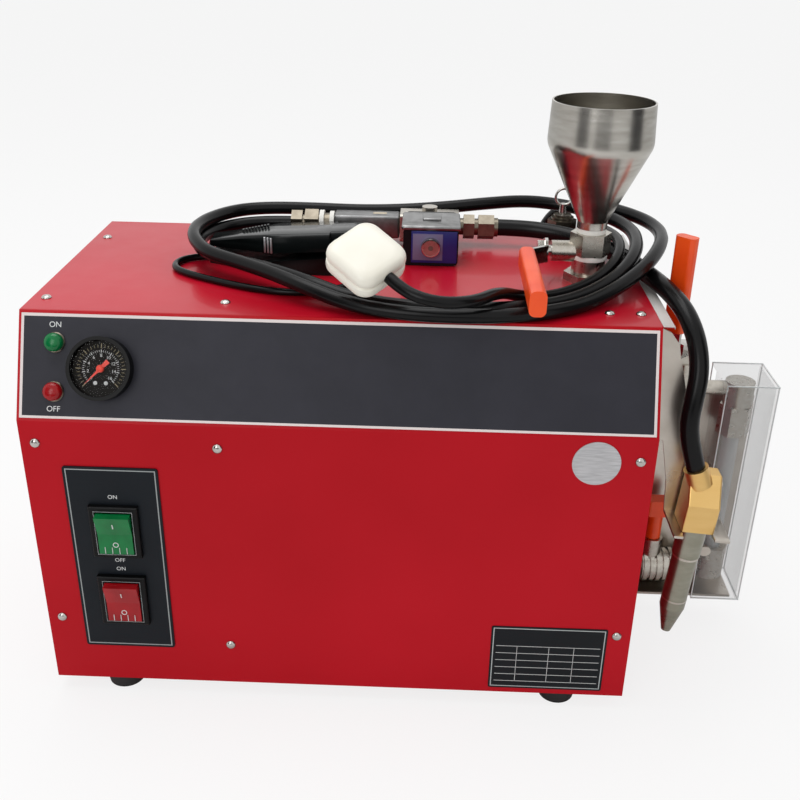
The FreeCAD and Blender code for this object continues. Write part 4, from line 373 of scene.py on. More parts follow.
# %% [markdown]
# ## Hoses and leads
# A hose is one smooth line with a round section. It could be a chain of short tubes, but every joint would
# show. Its points are the places where it bends, and a NURBS spline runs near them, so the hose never has a
# corner. The length that a shop puts away is wound into a neat coil behind the machine, so each lead is two
# loose stretches with a winding between them.

# %% Hose routes, in millimetres
# From the valve's left port round the pedal twice, and down to the outlet behind.
SUPPLY_ROUTE = [
    (-52, 80, 307), (-64.2, 80.2, 306.8), (-77.3, 79.4, 306.4), (-90.9, 75.4, 305.9), (-102.6, 67.2, 305.4),
    (-111.2, 55.9, 305), (-115.8, 42.4, 304.7), (-116.1, 28.2, 304.5), (-111.9, 14.6, 304.5),
    (-103.7, 2.9, 304.5), (-92, -6.6, 304.5), (-79, -15.3, 304.5), (-63, -25, 304.5), (-44, -37.5, 304.5),
    (-21, -55, 303.5), (5, -68.5, 299), (34, -76, 297), (66, -79, 297), (98, -78, 297), (126, -72, 297),
    (150, -60, 297), (172, -44, 300), (192, -24, 306), (205, 0, 312.5), (211, 28, 315), (211, 56, 315.5),
    (202, 81, 316), (185, 99, 317), (162, 110, 319), (134, 111, 321), (104, 104, 320), (70, 99, 317),
    (35, 98.5, 314), (1, 97, 313), (-34, 96, 314), (-64, 92.5, 315), (-85, 87.5, 315), (-98.5, 78, 315),
    (-109.3, 64, 314.7), (-116.2, 47, 314.6), (-118.4, 29.5, 314.4), (-115.6, 12, 313.4),
    (-107.8, -3.4, 311.6),
    (-97.8, -15.6, 310), (-72, -31, 308.5), (-48, -48.4, 307.5), (-24, -65.6, 304.5), (6, -81, 299),
    (38, -89, 297), (72, -92, 297), (106, -90, 297), (136, -81, 297), (162, -66, 297.5), (186, -46, 302.5),
    (208, -22, 310), (223, 6, 315.5), (231, 36, 317), (229, 64, 317.5), (217, 88, 318), (199, 107, 318.5),
    (180.3, 122, 317), (167.3, 132.4, 310), (157.4, 140.3, 297.5), (152, 144.5, 281), (152, 144.5, 263.5),
]
# From the valve's right port round the filler, over the edge and down to the hand nozzle.
STEAM_ROUTE = [
    (111, 80, 307), (131, 79.5, 307), (153, 74, 306.3), (174, 64, 304.5), (192, 49, 302), (205, 29, 300.5),
    (212, 5, 300), (218, -19, 300), (225, -42, 298), (232, -61, 291), (237, -76, 278), (238.5, -87, 261.5),
    (236, -93, 244.5), (234.2, -95.2, 226.8), (237.88, -95.5, 209.18), (243.69, -95.5, 193.2),
]
# From the plug over the hose, round the filler, over the rear edge and down into its coil.
MAINS_ROUTE = [
    (32.42, -97.06, 323.79), (41.7, -104.3, 318.1), (54.6, -108.9, 314.2), (67.8, -109, 312.1),
    (80.6, -104, 311), (91, -95, 310), (99.5, -83.3, 309.6), (108, -70.5, 306.2), (118.5, -59.5, 300.4),
    (131.5, -51.5, 296.8), (147, -44, 296.5), (163, -35, 299), (178, -22.5, 303), (190, -6.5, 308.5),
    (196.5, 12, 312.5), (198, 33, 314), (194.5, 53, 313.5), (190, 73, 310), (186.5, 93, 304.5),
    (184.8, 112, 301.6), (184.6, 124, 300.8), (185.8, 135.8, 299.3), (187.5, 150, 294.1),
    (189.2, 161.7, 284.3), (190.6, 169.3, 271), (191.5, 172, 256), (192.4, 172.5, 240), (191.4, 172.4, 214),
    (192.5, 171.4, 174), (191.5, 171.3, 130), (192.6, 172.3, 90), (191.6, 172.2, 60), (192.1, 171.7, 40.8),
    (192.5, 177.2, 27.6), (191.6, 187.3, 17.5), (187.3, 199.7, 12),
]
# From the mains gland down into the same coil.
MAINS_END_ROUTE = [
    (150, 144, 182), (150.1, 156, 182.1), (150, 168.5, 181.8), (150, 180.4, 180.9), (150, 195.1, 176),
    (150, 207.1, 165.9), (150.1, 214.9, 152.4), (150.1, 217.6, 137), (150.6, 218.1, 118),
    (149.6, 218.1, 88), (150.6, 217.1, 60), (150.1, 217.6, 40.8), (155.4, 216.5, 27.6),
    (164.7, 212.5, 17.5), (174.8, 204.1, 12),
]
# From the nose of the pedal, under the hose, behind it and down into its coil.
PEDAL_ROUTE = [
    (-106, 24.6, 294.6), (-113.5, 24, 294.6), (-121, 20.4, 294.6), (-126.3, 15, 294.6),
    (-128.8, 7.2, 294.6), (-127.8, -1, 294.6), (-123.4, -8, 294.6), (-116.3, -14.3, 294.6),
    (-105.5, -21.8, 294.6), (-91, -30, 294.6), (-75, -38.5, 294.6), (-57, -46, 294.6), (-38, -49.5, 294.6),
    (-20, -47.5, 294.6), (-5, -39.5, 294.6), (6, -27, 294.6), (13, -10, 294.6), (16, 10, 294.6),
    (17, 33, 294.6), (19, 56, 294.6), (22, 79, 294.6), (24.5, 101, 294.6), (24.5, 116, 294.8),
    (25, 124.6, 294.9), (25.5, 133.2, 294.2), (26.2, 142, 290.8), (26.8, 149.4, 284.6),
    (27.2, 154.3, 276.2), (27.5, 156, 266.6), (27.9, 156.4, 254), (27.1, 156.4, 234), (28, 155.6, 198),
    (27.2, 155.6, 148), (28, 156.5, 98), (27.3, 156.5, 64), (28.1, 155.7, 45), (27.3, 155.7, 32.5),
    (27.7, 156.1, 23.5), (28, 159.1, 16.2), (27.6, 164.7, 10.5), (25.6, 171.8, 7.5),
]
# From the pedal's gland down into the same coil.
PEDAL_END_ROUTE = [
    (2, 144, 200), (2.05, 150.5, 200.1), (2, 157.3, 199.9), (2, 164.4, 199.4), (2, 172.3, 196.7),
    (2, 179, 191.1), (1.9, 183.3, 183.6), (1.8, 184.8, 175), (2.1, 185.2, 162), (1.3, 185.2, 140),
    (2, 184.4, 104), (1.2, 184.4, 68), (1.9, 185.2, 46), (1.1, 185.2, 32.5), (1.5, 184.8, 23.5),
    (4.5, 184.2, 16.2), (9.7, 182.1, 10.5), (15.6, 177.8, 7.5),
]

# %% [markdown]
# ## Winding a coil
# Four slots hold the turns: two beside each other, on two levels. A plain spiral would cross itself where
# its end comes out. Here the lead goes round in one slot at a time and slides over to the next before it
# meets itself. A loop works out where the lead is at each step.

# %% Coil
STEP = 20  # degrees from one point to the next
TURNS = 3
SLIDE = 30  # degrees that a move from slot to slot takes
LOWER_FROM, INWARD_FROM, RAISE_FROM = 320, 640, 960  # where each move starts, in degrees


def slid(turned, start, amount):
    """How far the lead has moved over, at a place on its way round."""
    return amount * min(max((turned - start) / SLIDE, 0), 1)


def wound(centre, start, finish, outer, high, wide):
    """Points in mm from the top outer slot to the top inner one, at angles from start to finish."""
    points = []
    reach = 1 / math.cos(math.radians(STEP / 2))
    turned = STEP
    while turned < 360 * TURNS + finish - start - STEP / 2:
        level = high + slid(turned, LOWER_FROM, -wide) + slid(turned, RAISE_FROM, wide)
        radius = (outer + slid(turned, INWARD_FROM, -wide)) * reach
        angle = math.radians(start + turned)
        points.append((centre[0] + radius * math.cos(angle), centre[1] + radius * math.sin(angle), level))
        turned += STEP
    return points


mains_turns = wound((144.5, 178), start=26.9, finish=40.75, outer=48, high=12, wide=8)
pedal_turns = wound((-2, 160), start=23.1, finish=45.3, outer=30, high=7.5, wide=5)
print("points", len(mains_turns), len(pedal_turns))

# %% Lines
def line_of(name, points, wide):
    """A smooth NURBS line through the bends of a route, with a round section."""
    curve = bpy.data.curves.new(name, "CURVE")
    curve.dimensions = "3D"
    spline = curve.splines.new("NURBS")
    spline.points.add(len(points) - 1)
    for knot, point in zip(spline.points, points):
        knot.co = (*(Vector(point) * MM), 1)
    spline.order_u = 3
    spline.use_endpoint_u = True
    spline.resolution_u = 6
    curve.bevel_depth = wide * MM / 2
    curve.bevel_resolution = 4
    curve.use_fill_caps = True
    curve.materials.append(hose_rubber)
    return show(name, curve)


def baked(thing):
    """The plain mesh that an object shows, with its curve or its tree worked out."""
    graph = bpy.context.evaluated_depsgraph_get()
    return bpy.data.meshes.new_from_object(thing.evaluated_get(graph), depsgraph=graph)


def path_of(line):
    """The points along a line, read from the line itself with its section switched off."""
    section = line.data.bevel_depth
    line.data.bevel_depth = 0
    thread = baked(line)
    line.data.bevel_depth = section
    return [vertex.co.copy() for vertex in thread.vertices]


def length_of(path):
    return sum((b - a).length for a, b in zip(path, path[1:]))


def lay_cord(name, nodes, points, wide):
    """A lead from its exit to its far end, in place of the solids that stand for it."""
    line = line_of(name, points, wide)
    length = length_of(path_of(line))
    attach(line, "cabinet")
    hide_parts(*nodes)
    print(name, round(length, 3), "m")


lay_cord("supply_line", ["supply_hose"], SUPPLY_ROUTE, 10)
lay_cord("pedal_line", ["pedal_cable", "pedal_cable_end", "pedal_coil"],
         PEDAL_END_ROUTE + pedal_turns[::-1] + PEDAL_ROUTE[::-1], 5)

# %% [markdown]
# ## Mesh tools
# Turned parts are lathed: an outline of radius and height goes round an axis. Blocks are cubes whose edges
# are bevelled in the mesh, and skins join rings of corners. Modifiers could do the same one object at a
# time. Made in bmesh, many small shapes share one form, which is sealed and given to a body at the end.

# %% Shapes
def lathe(form, outline, place, axis, steps=48, finish=0):
    """Turn pairs of radius and height, in mm, round an axis through a place."""
    turn = Vector((0, 0, 1)).rotation_difference(Vector(axis)).to_matrix()
    rings = []
    for radius, height in outline:
        ring = []
        for k in range(steps if radius else 1):
            angle = 2 * math.pi * k / steps
            spot = Vector((radius * math.cos(angle), radius * math.sin(angle), height))
            ring.append(form.verts.new((Vector(place) + turn @ spot) * MM))
        rings.append(ring)
    for low, high in zip(rings, rings[1:]):
        for k in range(steps):
            corners = dict.fromkeys((low[k % len(low)], low[(k + 1) % len(low)],
                                     high[(k + 1) % len(high)], high[k % len(high)]))
            if len(corners) > 2:
                form.faces.new(list(corners)).material_index = finish


def block(form, low, high, bevel, turn=None, finish=0):
    """A box between two corners in mm, its edges rounded, turned about its middle."""
    made = bmesh.ops.create_cube(form, size=1)["verts"]
    low, high = Vector(low) * MM, Vector(high) * MM
    turn = turn or Matrix.Identity(3)
    spot = Matrix.Translation((low + high) / 2) @ turn.to_4x4() @ Matrix.Diagonal((*(high - low), 1))
    bmesh.ops.transform(form, matrix=spot, verts=made)
    for face in {face for corner in made for face in corner.link_faces}:
        face.material_index = finish
    edges = {edge for corner in made for edge in corner.link_edges}
    if bevel:
        bmesh.ops.bevel(form, geom=list(edges), offset=bevel * MM, segments=3, profile=0.5, affect="EDGES")


def skin(form, sections):
    """Join sections, each a list of points in mm, one after the other, and close both ends."""
    rings = [[form.verts.new(Vector(point) * MM) for point in points] for points in sections]
    for near, far in zip(rings, rings[1:]):
        for k in range(len(near)):
            form.faces.new((near[k], near[k - 1], far[k - 1], far[k]))
    form.faces.new(rings[0])
    form.faces.new(rings[-1])


# %% Pieces
SMOOTH_UP_TO = math.radians(34)


def place_mesh(name, mesh, finishes, body="cabinet", replaces=()):
    """A piece of mesh in its finishes, riding on a body, smooth but for its corners."""
    if not mesh.materials:
        for finish in finishes:
            mesh.materials.append(finish)
    mesh.shade_smooth()
    mesh.set_sharp_from_angle(angle=SMOOTH_UP_TO)
    piece = show(name, mesh)
    if body:
        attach(piece, body)
    if replaces:
        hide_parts(*replaces)
    print(name, len(mesh.polygons), "faces")
    return piece


def settle(name, form, finishes, body="cabinet", replaces=()):
    """Seal a form, turn its faces outwards and place it."""
    bmesh.ops.remove_doubles(form, verts=form.verts, dist=1e-6)
    bmesh.ops.recalc_face_normals(form, faces=form.faces)
    mesh = bpy.data.meshes.new(name)
    form.to_mesh(mesh)
    form.free()
    return place_mesh(name, mesh, finishes, body, replaces)


# %% [markdown]
# ## The plug
# A moulded plug is two white shells that meet at a waist, where a finger can hold it. A bevelled cube would
# have no waist. Rounded squares are stacked through its thickness instead, and each is a little smaller or
# larger than the last, so the waist is only a few numbers.

# %% Plug
PLUG_PLACE = Vector((17.5, -85.5, 333))
LEAD_SIDE = Vector((0.732, -0.5417, -0.4113)).normalized()
LEAN = math.radians(36)
PLUG_HALF, PLUG_CORNER, CORNER_STEPS = 21, 10, 8
BLADE_WIDE, BLADE_LONG, BLADE_DROP = 6.3, 18, 16
# How far each layer draws in, and its height from the waist.
LAYERS = [(7, -12), (3.2, -11.9), (1.2, -11), (0.3, -9.4), (0, -7), (0.2, -4), (0.8, -3.2), (1.6, -2.6),
          (1.6, -1.8), (0.4, -1), (0, 1), (0.3, 3.6), (1.4, 5.8), (3.6, 7.1), (7, 7.5)]

flat_side = Vector((-0.63, -0.22, -0.745))
flat_side = (flat_side - LEAD_SIDE * flat_side.dot(LEAD_SIDE)).normalized()
level_side = flat_side.cross(LEAD_SIDE)
low_side = flat_side * math.cos(LEAN) + level_side * math.sin(LEAN)
face_side = level_side * math.cos(LEAN) - flat_side * math.sin(LEAN)
plug_turn = Matrix((low_side, LEAD_SIDE, face_side)).transposed()


def plug_layer(inset, height):
    """One rounded square through the plug."""
    radius = max(PLUG_CORNER - inset * 0.4, 2)
    reach = PLUG_HALF - inset - radius
    layer = []
    for quarter, (x, y) in enumerate(((1, 1), (-1, 1), (-1, -1), (1, -1))):
        for k in range(CORNER_STEPS + 1):
            angle = math.radians(90 * (quarter + k / CORNER_STEPS))
            spot = Vector((x * reach + radius * math.cos(angle),
                           y * reach + radius * math.sin(angle), height))
            layer.append(PLUG_PLACE + plug_turn @ spot)
    return layer


shells = bmesh.new()
skin(shells, [plug_layer(*layer) for layer in LAYERS])
plug = settle("plug_shells", shells, [white_nylon], replaces=["mains_plug"])

# %% Plug blades
blade_form = bmesh.new()
for u, v, thick, twist in ((9, 0, 2.2, 0), (-6, 8, 1.6, 30), (-6, -8, 1.6, -30)):
    foot = PLUG_PLACE + plug_turn @ Vector((u, v, -BLADE_DROP))
    half_size = Vector((thick, BLADE_WIDE, BLADE_LONG)) / 2
    turn = plug_turn @ Matrix.Rotation(math.radians(twist), 3, "Z")
    block(blade_form, foot - half_size, foot + half_size, 0.5, turn)
blades = settle("plug_blades", blade_form, [blade_nickel], replaces=["plug_pins"])
lay_cord("mains_line", ["mains_lead", "mains_lead_end", "mains_coil"],
         MAINS_END_ROUTE + mains_turns[::-1] + MAINS_ROUTE[::-1], 8)

# %% [markdown]
# ## The steam hose
# This hose joins the valve to the hand nozzle, which lifts out of its rest. A curve can't bend with two
# bodies, so this one is a mesh tube round the line of its own route. It is laid in place and rides on no
# body.

# %% Steam hose
STEAM_WIDE = 13
TUBE_STEPS = 20


def tube_sections(path, wide):
    """Round sections in mm along a path in metres, carried on from point to point without twist."""
    sections = []
    normal = (path[1] - path[0]).orthogonal().normalized()
    for k, spot in enumerate(path):
        along = (path[min(k + 1, len(path) - 1)] - path[max(k - 1, 0)]).normalized()
        normal = (normal - along * normal.dot(along)).normalized()
        side = along.cross(normal)
        angles = [2 * math.pi * j / TUBE_STEPS for j in range(TUBE_STEPS)]
        sections.append([spot / MM + (normal * math.cos(angle) + side * math.sin(angle)) * wide / 2
                         for angle in angles])
    return sections


guide = line_of("hose_guide", STEAM_ROUTE, STEAM_WIDE)
steam_path = path_of(guide)
bpy.data.objects.remove(guide)
tube = bmesh.new()
skin(tube, tube_sections(steam_path, STEAM_WIDE))
steam_line = settle("steam_line", tube, [hose_rubber], body=None, replaces=["steam_hose"])
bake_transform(steam_line)

# %% [markdown]
# ## Growing small repeated things
# Screws, dial ticks and the treadle's notches are each one small shape that stands in many places. A loop
# could copy them. Geometry Nodes put them there instead, because a tree takes its sizes from named inputs
# that can be tried one by one. The result is baked into a plain mesh.

# %% Trees
class Grower(Recipe):
    """A Geometry Nodes tree with named sizes, which ends in real, painted mesh."""

    def __init__(self, name, **sizes):
        super().__init__(bpy.data.node_groups.new(name, "GeometryNodeTree"))
        face = self.tree.interface
        for way in ("INPUT", "OUTPUT"):
            face.new_socket("Geometry", in_out=way, socket_type="NodeSocketGeometry")
        self.sizes = {}
        for label, value in sizes.items():
            kind = "NodeSocketInt" if isinstance(value, int) else "NodeSocketFloat"
            self.sizes[face.new_socket(label, in_out="INPUT", socket_type=kind).identifier] = value
        self.given = self.add("NodeGroupInput").outputs

    def vector(self, *values):
        return self.feed(self.add("ShaderNodeCombineXYZ"), values)

    def box(self, *size):
        return self.add("GeometryNodeMeshCube", {"Size": self.vector(*size)}).outputs[0]

    def moved(self, geometry, **by):
        """Geometry with its Translation or its Scale given."""
        return self.add("GeometryNodeTransform", {"Geometry": geometry, **by}).outputs[0]

    def less(self, whole, part):
        """A mesh with another cut away."""
        return self.add("GeometryNodeMeshBoolean", {"Mesh 1": whole, "Mesh 2": part},
                        operation="DIFFERENCE").outputs[0]

    def grow(self, geometry, host, finish):
        """Bake the tree on a host mesh and hand back a plain mesh."""
        real = self.add("GeometryNodeRealizeInstances", {"Geometry": geometry})
        painted = self.add("GeometryNodeSetMaterial", {"Geometry": real.outputs[0]}, Material=finish)
        self.tree.links.new(painted.outputs[0], self.add("NodeGroupOutput").inputs[0])
        carrier = show(self.tree.name, host)
        modifier = carrier.modifiers.new("grow", "NODES")
        modifier.node_group = self.tree
        for identifier, value in self.sizes.items():
            modifier[identifier] = value
        mesh = baked(carrier)
        bpy.data.objects.remove(carrier)
        return mesh


def host_of(points, facings=()):
    """Loose points in mm for a tree to stand things on, each with the way that it faces."""
    mesh = bpy.data.meshes.new("host")
    mesh.from_pydata([Vector(point) * MM for point in points], [], [])
    held = mesh.attributes.new("facing", "FLOAT_VECTOR", "POINT")
    for place, facing in enumerate(facings):
        held.data[place].vector = facing
    return mesh


# %% [markdown]
# ## Panel screws
# Every panel is held by domed cross-head screws. The head is the cap of a flattened ball with a cross cut
# into it, and a dark skin, painted shade, lies on the bottom of the cross where its deep slots fall into
# shadow. A bump could fake the cross, but it would not be in the mesh. Each screw stands square to its
# panel, and its cross points wherever it happened to stop.

# %% Where the screws stand
FRONT_SPOTS = [(-200, 209.5), (-78.5, 209.5), (200, 209.5), (-200, 66.8), (-78.5, 46.7), (200, 66.8)]
TOP_SPOTS = [(-200, -66), (-78.5, -66), (200, -66), (-200, 74), (179, -66)]
spots = [(x, -120, z) for x, z in FRONT_SPOTS] + [(x, 120, z) for x, z in FRONT_SPOTS]
spots += [(x, y, 292) for x, y in TOP_SPOTS]
facings = [(0, -1, 0)] * len(FRONT_SPOTS) + [(0, 1, 0)] * len(FRONT_SPOTS) + [(0, 0, 1)] * len(TOP_SPOTS)
print(len(spots), "screws")

# %% Screw shapes
def cross(made, low, high):
    """Two crossed bars between two heights."""
    bars = made.add("GeometryNodeJoinGeometry")
    slot, long = made.given["slot"], made.given["cross"]
    tall = made.sums("SUBTRACT", high, low)
    middle = made.vector(0, 0, made.sums("MULTIPLY", made.sums("ADD", high, low), 0.5))
    for wide, deep in ((slot, long), (long, slot)):
        bar = made.moved(made.box(wide, deep, tall), Translation=middle)
        made.tree.links.new(bar, bars.inputs[0])
    return bars.outputs[0]


def screw_head(made):
    """The upper half of a flattened ball, less a cross."""
    radius, dome = made.given["radius"], made.given["dome"]
    ball = made.add("GeometryNodeMeshUVSphere", {"Radius": radius}, Segments=28, Rings=18)
    cap = made.moved(ball.outputs[0], Scale=made.vector(1, 1, made.sums("DIVIDE", dome, radius)))
    wide = made.sums("MULTIPLY", radius, 3)
    under = made.moved(made.box(wide, wide, wide),
                       Translation=made.vector(0, 0, made.sums("MULTIPLY", wide, -0.5)))
    bars = cross(made, made.given["floor"], made.sums("MULTIPLY", dome, 1.5))
    return made.less(made.less(cap, under), bars)


def painted_slot_shade(made):
    """A thin dark cross on the bottom of the slots: painted shade, where the deep slots fall into shadow."""
    floor = made.given["floor"]
    return cross(made, floor, made.sums("ADD", floor, made.given["skin"]))


# %% Screws
def screws(name, shape, finish, look, replaces=(), **sizes):
    """Stand one shape at every screw's place, square to its panel, spun by a fixed chance."""
    made = Grower(name, **{size: value * MM for size, value in sizes.items()})
    facing = made.add("GeometryNodeInputNamedAttribute", data_type="FLOAT_VECTOR", Name="facing")
    aligned = made.add("FunctionNodeAlignRotationToVector", {"Vector": facing.outputs[0]}, axis="Z")
    spin = made.add("FunctionNodeRandomValue", Seed=7)
    spin.inputs[3].default_value = math.pi
    spun = made.add("FunctionNodeAxisAngleToRotation", {"Angle": spin.outputs[1]})
    both = made.add("FunctionNodeRotateRotation",
                    {"Rotation": aligned.outputs[0], "Rotate By": spun.outputs[0]}, rotation_space="LOCAL")
    stood = made.add("GeometryNodeInstanceOnPoints", {
        "Points": made.given["Geometry"], "Instance": shape(made), "Rotation": both.outputs[0]})
    mesh = made.grow(stood.outputs[0], host_of(spots, facings), finish)
    place_mesh(name, mesh, [finish], replaces=replaces)


screws("screw_heads", screw_head, bright_steel, "polished_steel", ["panel_screws"],
       radius=3.5, dome=2.1, slot=1.5, cross=5.2, floor=0.5)
# The dark crosses in the slots are painted shade, where the deep slots fall into shadow.
screws("screw_recesses", painted_slot_shade, black_plastic, "black_plastic",
       slot=1.4, cross=5.1, floor=0.5, skin=0.25)

# %% [markdown]
# ## The pressure gauge
# Its dial is printed with two rings of fine ticks, a longer one at every fifth, and numbers inside them. An
# image of a dial would blur when it is looked at closely. The ticks are one bar that a tree turns step by
# step, and the band's own axes carry them to the dial.

# %% Band axes
UP_BAND = Vector((0, 31, 66)).normalized()
OUT_BAND = Vector((0, -66, 31)).normalized()
RIGHT_BAND = Vector((1, 0, 0))
FRONT_Y = -120


def on_band(x, up, out):
    """A place on the sloping band: across it, up it from the fold, and out of it."""
    return Vector((x, FRONT_Y, 226)) + UP_BAND * up + OUT_BAND * out


def facing_out(right, up, place):
    """The matrix that carries a flat drawing to a place in mm."""
    spot = Matrix((right, up, right.cross(up))).transposed().to_4x4()
    spot.translation = Vector(place) * MM
    return spot


DIAL = on_band(-154, 35.5, 3.2)
SWEEP = 270.0  # degrees from the first tick to the last
print("dial at", tuple(round(v, 1) for v in DIAL))

# %% Dial ticks
def ring_of_ticks(name, finish, radius, long, wide, count):
    made = Grower(name, radius=radius * MM, long=long * MM, wide=wide * MM, thick=0.1 * MM, count=count,
                  every=5, sweep=SWEEP)
    given, sums = made.given, made.sums
    step = sums("DIVIDE", given["sweep"], sums("SUBTRACT", given["count"], 1))
    order = made.add("GeometryNodeInputIndex").outputs[0]
    turned = sums("SUBTRACT", sums("MULTIPLY", order, step), sums("DIVIDE", given["sweep"], 2))
    angle = sums("RADIANS", turned)
    whole = sums("LESS_THAN", sums("MODULO", order, given["every"]), 0.5)
    middle = sums("ADD", given["radius"], sums("DIVIDE", given["long"], 2))
    place = made.vector(sums("MULTIPLY", sums("SINE", angle), middle),
                        sums("MULTIPLY", sums("COSINE", angle), middle), 0)
    points = made.add("GeometryNodeMeshLine", {"Count": given["count"]})
    ring = made.add("GeometryNodeSetPosition", {"Geometry": points.outputs[0], "Position": place})
    stood = made.add("GeometryNodeInstanceOnPoints", {
        "Points": ring.outputs[0],
        "Instance": made.box(given["wide"], given["long"], given["thick"]),
        "Rotation": made.vector(0, 0, sums("MULTIPLY", angle, -1)),
        "Scale": made.vector(sums("ADD", 1, whole), sums("ADD", 1, sums("MULTIPLY", whole, 0.6)), 1)})
    mesh = made.grow(stood.outputs[0], host_of([(0, 0, 0)]), finish)
    mesh.transform(facing_out(RIGHT_BAND, UP_BAND, DIAL))
    place_mesh(name, mesh, [finish])


ring_of_ticks("dial_ticks", print_white, radius=10.9, long=1.2, wide=0.26, count=41)
ring_of_ticks("dial_outer_ticks", print_cream, radius=13.9, long=2.0, wide=0.24, count=31)

# %% Dial numbers
PROUD = 0.05


def write(form, words, size, place, up=UP_BAND):
    """Put raised words into a form, centred on a place, with their own way up."""
    curve = bpy.data.curves.new("words", "FONT")
    curve.body = words
    curve.size = size * MM
    curve.align_x = "CENTER"
    curve.align_y = "CENTER"
    curve.extrude = PROUD * MM
    sign = show("words", curve)
    mesh = baked(sign)
    bpy.data.objects.remove(sign)
    mesh.transform(facing_out(RIGHT_BAND, Vector(up), place))
    form.from_mesh(mesh)
    bpy.data.meshes.remove(mesh)


NUMBERS, NUMBER_RING = 9, 8.7
numbers = bmesh.new()
for k in range(NUMBERS):
    angle = math.radians(SWEEP * (k / (NUMBERS - 1) - 0.5))
    spot = DIAL + (RIGHT_BAND * math.sin(angle) + UP_BAND * math.cos(angle)) * NUMBER_RING
    write(numbers, str(2 * k), 3.0, spot)
for aside in (-3.4, 3.6):
    spot = DIAL + RIGHT_BAND * aside - UP_BAND * 9.4
    lathe(numbers, [(0, -0.3), (1.3, -0.3), (1.3, 0.3), (0.9, 0.6), (0, 0.7)], spot, OUT_BAND, 20)
settle("dial_numbers", numbers, [print_white])
hub = bmesh.new()
lathe(hub, [(0, 1.9), (2.3, 1.9), (2.3, 2.7), (1.6, 3.2), (0, 3.3)], DIAL, OUT_BAND, 28)
settle("needle_hub", hub, [needle_red], "pointer")

# %% [markdown]
# ## Words
# The words beside the lamps and the switches are printed in a pale grey. They could be drawn in the film's
# colour, but letters made by nodes are clumsy. These are text, turned into mesh, and they stand a twentieth
# of a millimetre proud, as thick ink does.

# %% Words
LAMPS_X, SWITCHES_X = -185.4, -152.2
printed_words = bmesh.new()
for words, up in (("ON", 63.5), ("OFF", 8.2)):
    write(printed_words, words, 5.2, on_band(LAMPS_X, up, 0.85))
for words, height in (("ON", 170), ("OFF", 118.6), ("ON", 111.4)):
    write(printed_words, words, 4.2, (SWITCHES_X, FRONT_Y - 1.05, height), (0, 0, 1))
settle("printed_words", printed_words, [print_white])

# %% [markdown]
# ## Indicator lamps
# A lamp is a plated flange with a domed lens. A cylinder and a ball could stand for it, but then the step
# between them would be missing. Both are turned from their outlines, and the finish changes where the lens
# begins.

# %% Lamps
FLANGE = [(0, -20), (4.8, -20), (4.8, -0.4), (6.8, -0.4), (6.8, 0.7), (6.3, 1.2), (0, 1.2)]
LENS = [(0, 1.3), (6.1, 1.3), (6.1, 3.6), (5.8, 4.8), (5.1, 5.7), (3.4, 6.6), (0, 7)]
for colour, up, lens in (("green", 51.9, green_lens), ("red", 19.7, red_lens)):
    form = bmesh.new()
    foot = on_band(LAMPS_X, up, 0.8)
    lathe(form, FLANGE, foot, OUT_BAND)
    lathe(form, LENS, foot, OUT_BAND, finish=1)
    settle(colour + "_lamp_form", form, [nickel, lens], replaces=[colour + "_lamp"])

# %% [markdown]
# ## Rocker switches
# Each key carries its two marks and the ribs of the clear splash cover over it. They ride on the key, so
# that they rock with it. Marks in the key's own colour would slide as it is resized, so they are thin
# pieces. The key has two faces: the lower one stands upright while the key is off.

# %% Key marks
KEY_FACE_Y = -125.8
KEY_LEAN = Matrix.Rotation(math.radians(15.9), 3, "X")
for key, middle in (("green", 143.5), ("red", 86)):
    form = bmesh.new()
    lathe(form, [(1.5, 0), (2.0, 0), (2.0, 0.15), (1.5, 0.15), (1.5, 0)],
          (SWITCHES_X, KEY_FACE_Y, middle - 9), (0, -1, 0), 32)
    block(form, (-152.5, -128.4, middle + 5.2), (-151.9, -128.1, middle + 9.2), 0, KEY_LEAN)
    for rib in (-160, -155, -150, -145):
        block(form, (rib, KEY_FACE_Y - 0.5, middle - 16.2), (rib + 0.4, KEY_FACE_Y, middle - 11), 0.1)
    settle(key + "_key_marks", form, [print_white], key + "_switch")

# %% Splash rims
rims = bmesh.new()
for middle in (143.2, 85.7):
    for x in (-165.6, -139.1):
        block(rims, (x, -125.3, middle - 17.2), (x + 0.35, -124.6, middle + 17.2), 0.08)
    for z in (middle - 17.4, middle + 17.1):
        block(rims, (-165.6, -125.3, z), (-138.8, -124.6, z + 0.35), 0.08)
settle("splash_rims", rims, [splash_clear])

# %% [markdown]
# ## The pedal
# The treadle is a shell that is level over the switch and falls to a narrow nose. A bent cube would lose its
# crisp front. Sections are set along it and joined instead, each with an upright front, a short flat top and
# a back that slopes away. Bright silver bars where the slope ends are a painted highlight of its rounded
# corner, and small notches give the shoe a grip.

# %% Treadle
PEDAL_Y = 30
NOSE_X, HEEL_X = -106, 5
# Along X, in mm: half of the width, and the height of the top.
TREADLE = [(NOSE_X, 10.5, 308), (-105, 12.3, 309.6), (-95, 17, 312.4), (-80, 24, 316.4), (-62, 32.6, 320.2),
           (-56, 35, 321.2), (-40, 35, 322), (-14, 35, 323.4), (-13.5, 30.4, 323.4), (2, 30.4, 324.4),
           (HEEL_X, 30.4, 323)]


def along_pedal(x, low, rise):
    """A height that grows evenly from the nose to the heel."""
    return low + (x - NOSE_X) * rise / (HEEL_X - NOSE_X)


def treadle_section(x, half, top):
    """One cut through the treadle, from its front round to its rear."""
    low = along_pedal(x, 305, 6)
    ridge = -0.32 * half
    cut = [(-half, low), (-half, top - 1.8), (0.3 - half, top - 0.9), (1.4 - half, top - 0.1),
           (2.4 - half, top), (ridge, top), (ridge + 1.6, top - 0.8), (half - 1.5, low + 3.4),
           (half, low + 2), (half, low)]
    return [(x, PEDAL_Y + y, z) for y, z in cut]


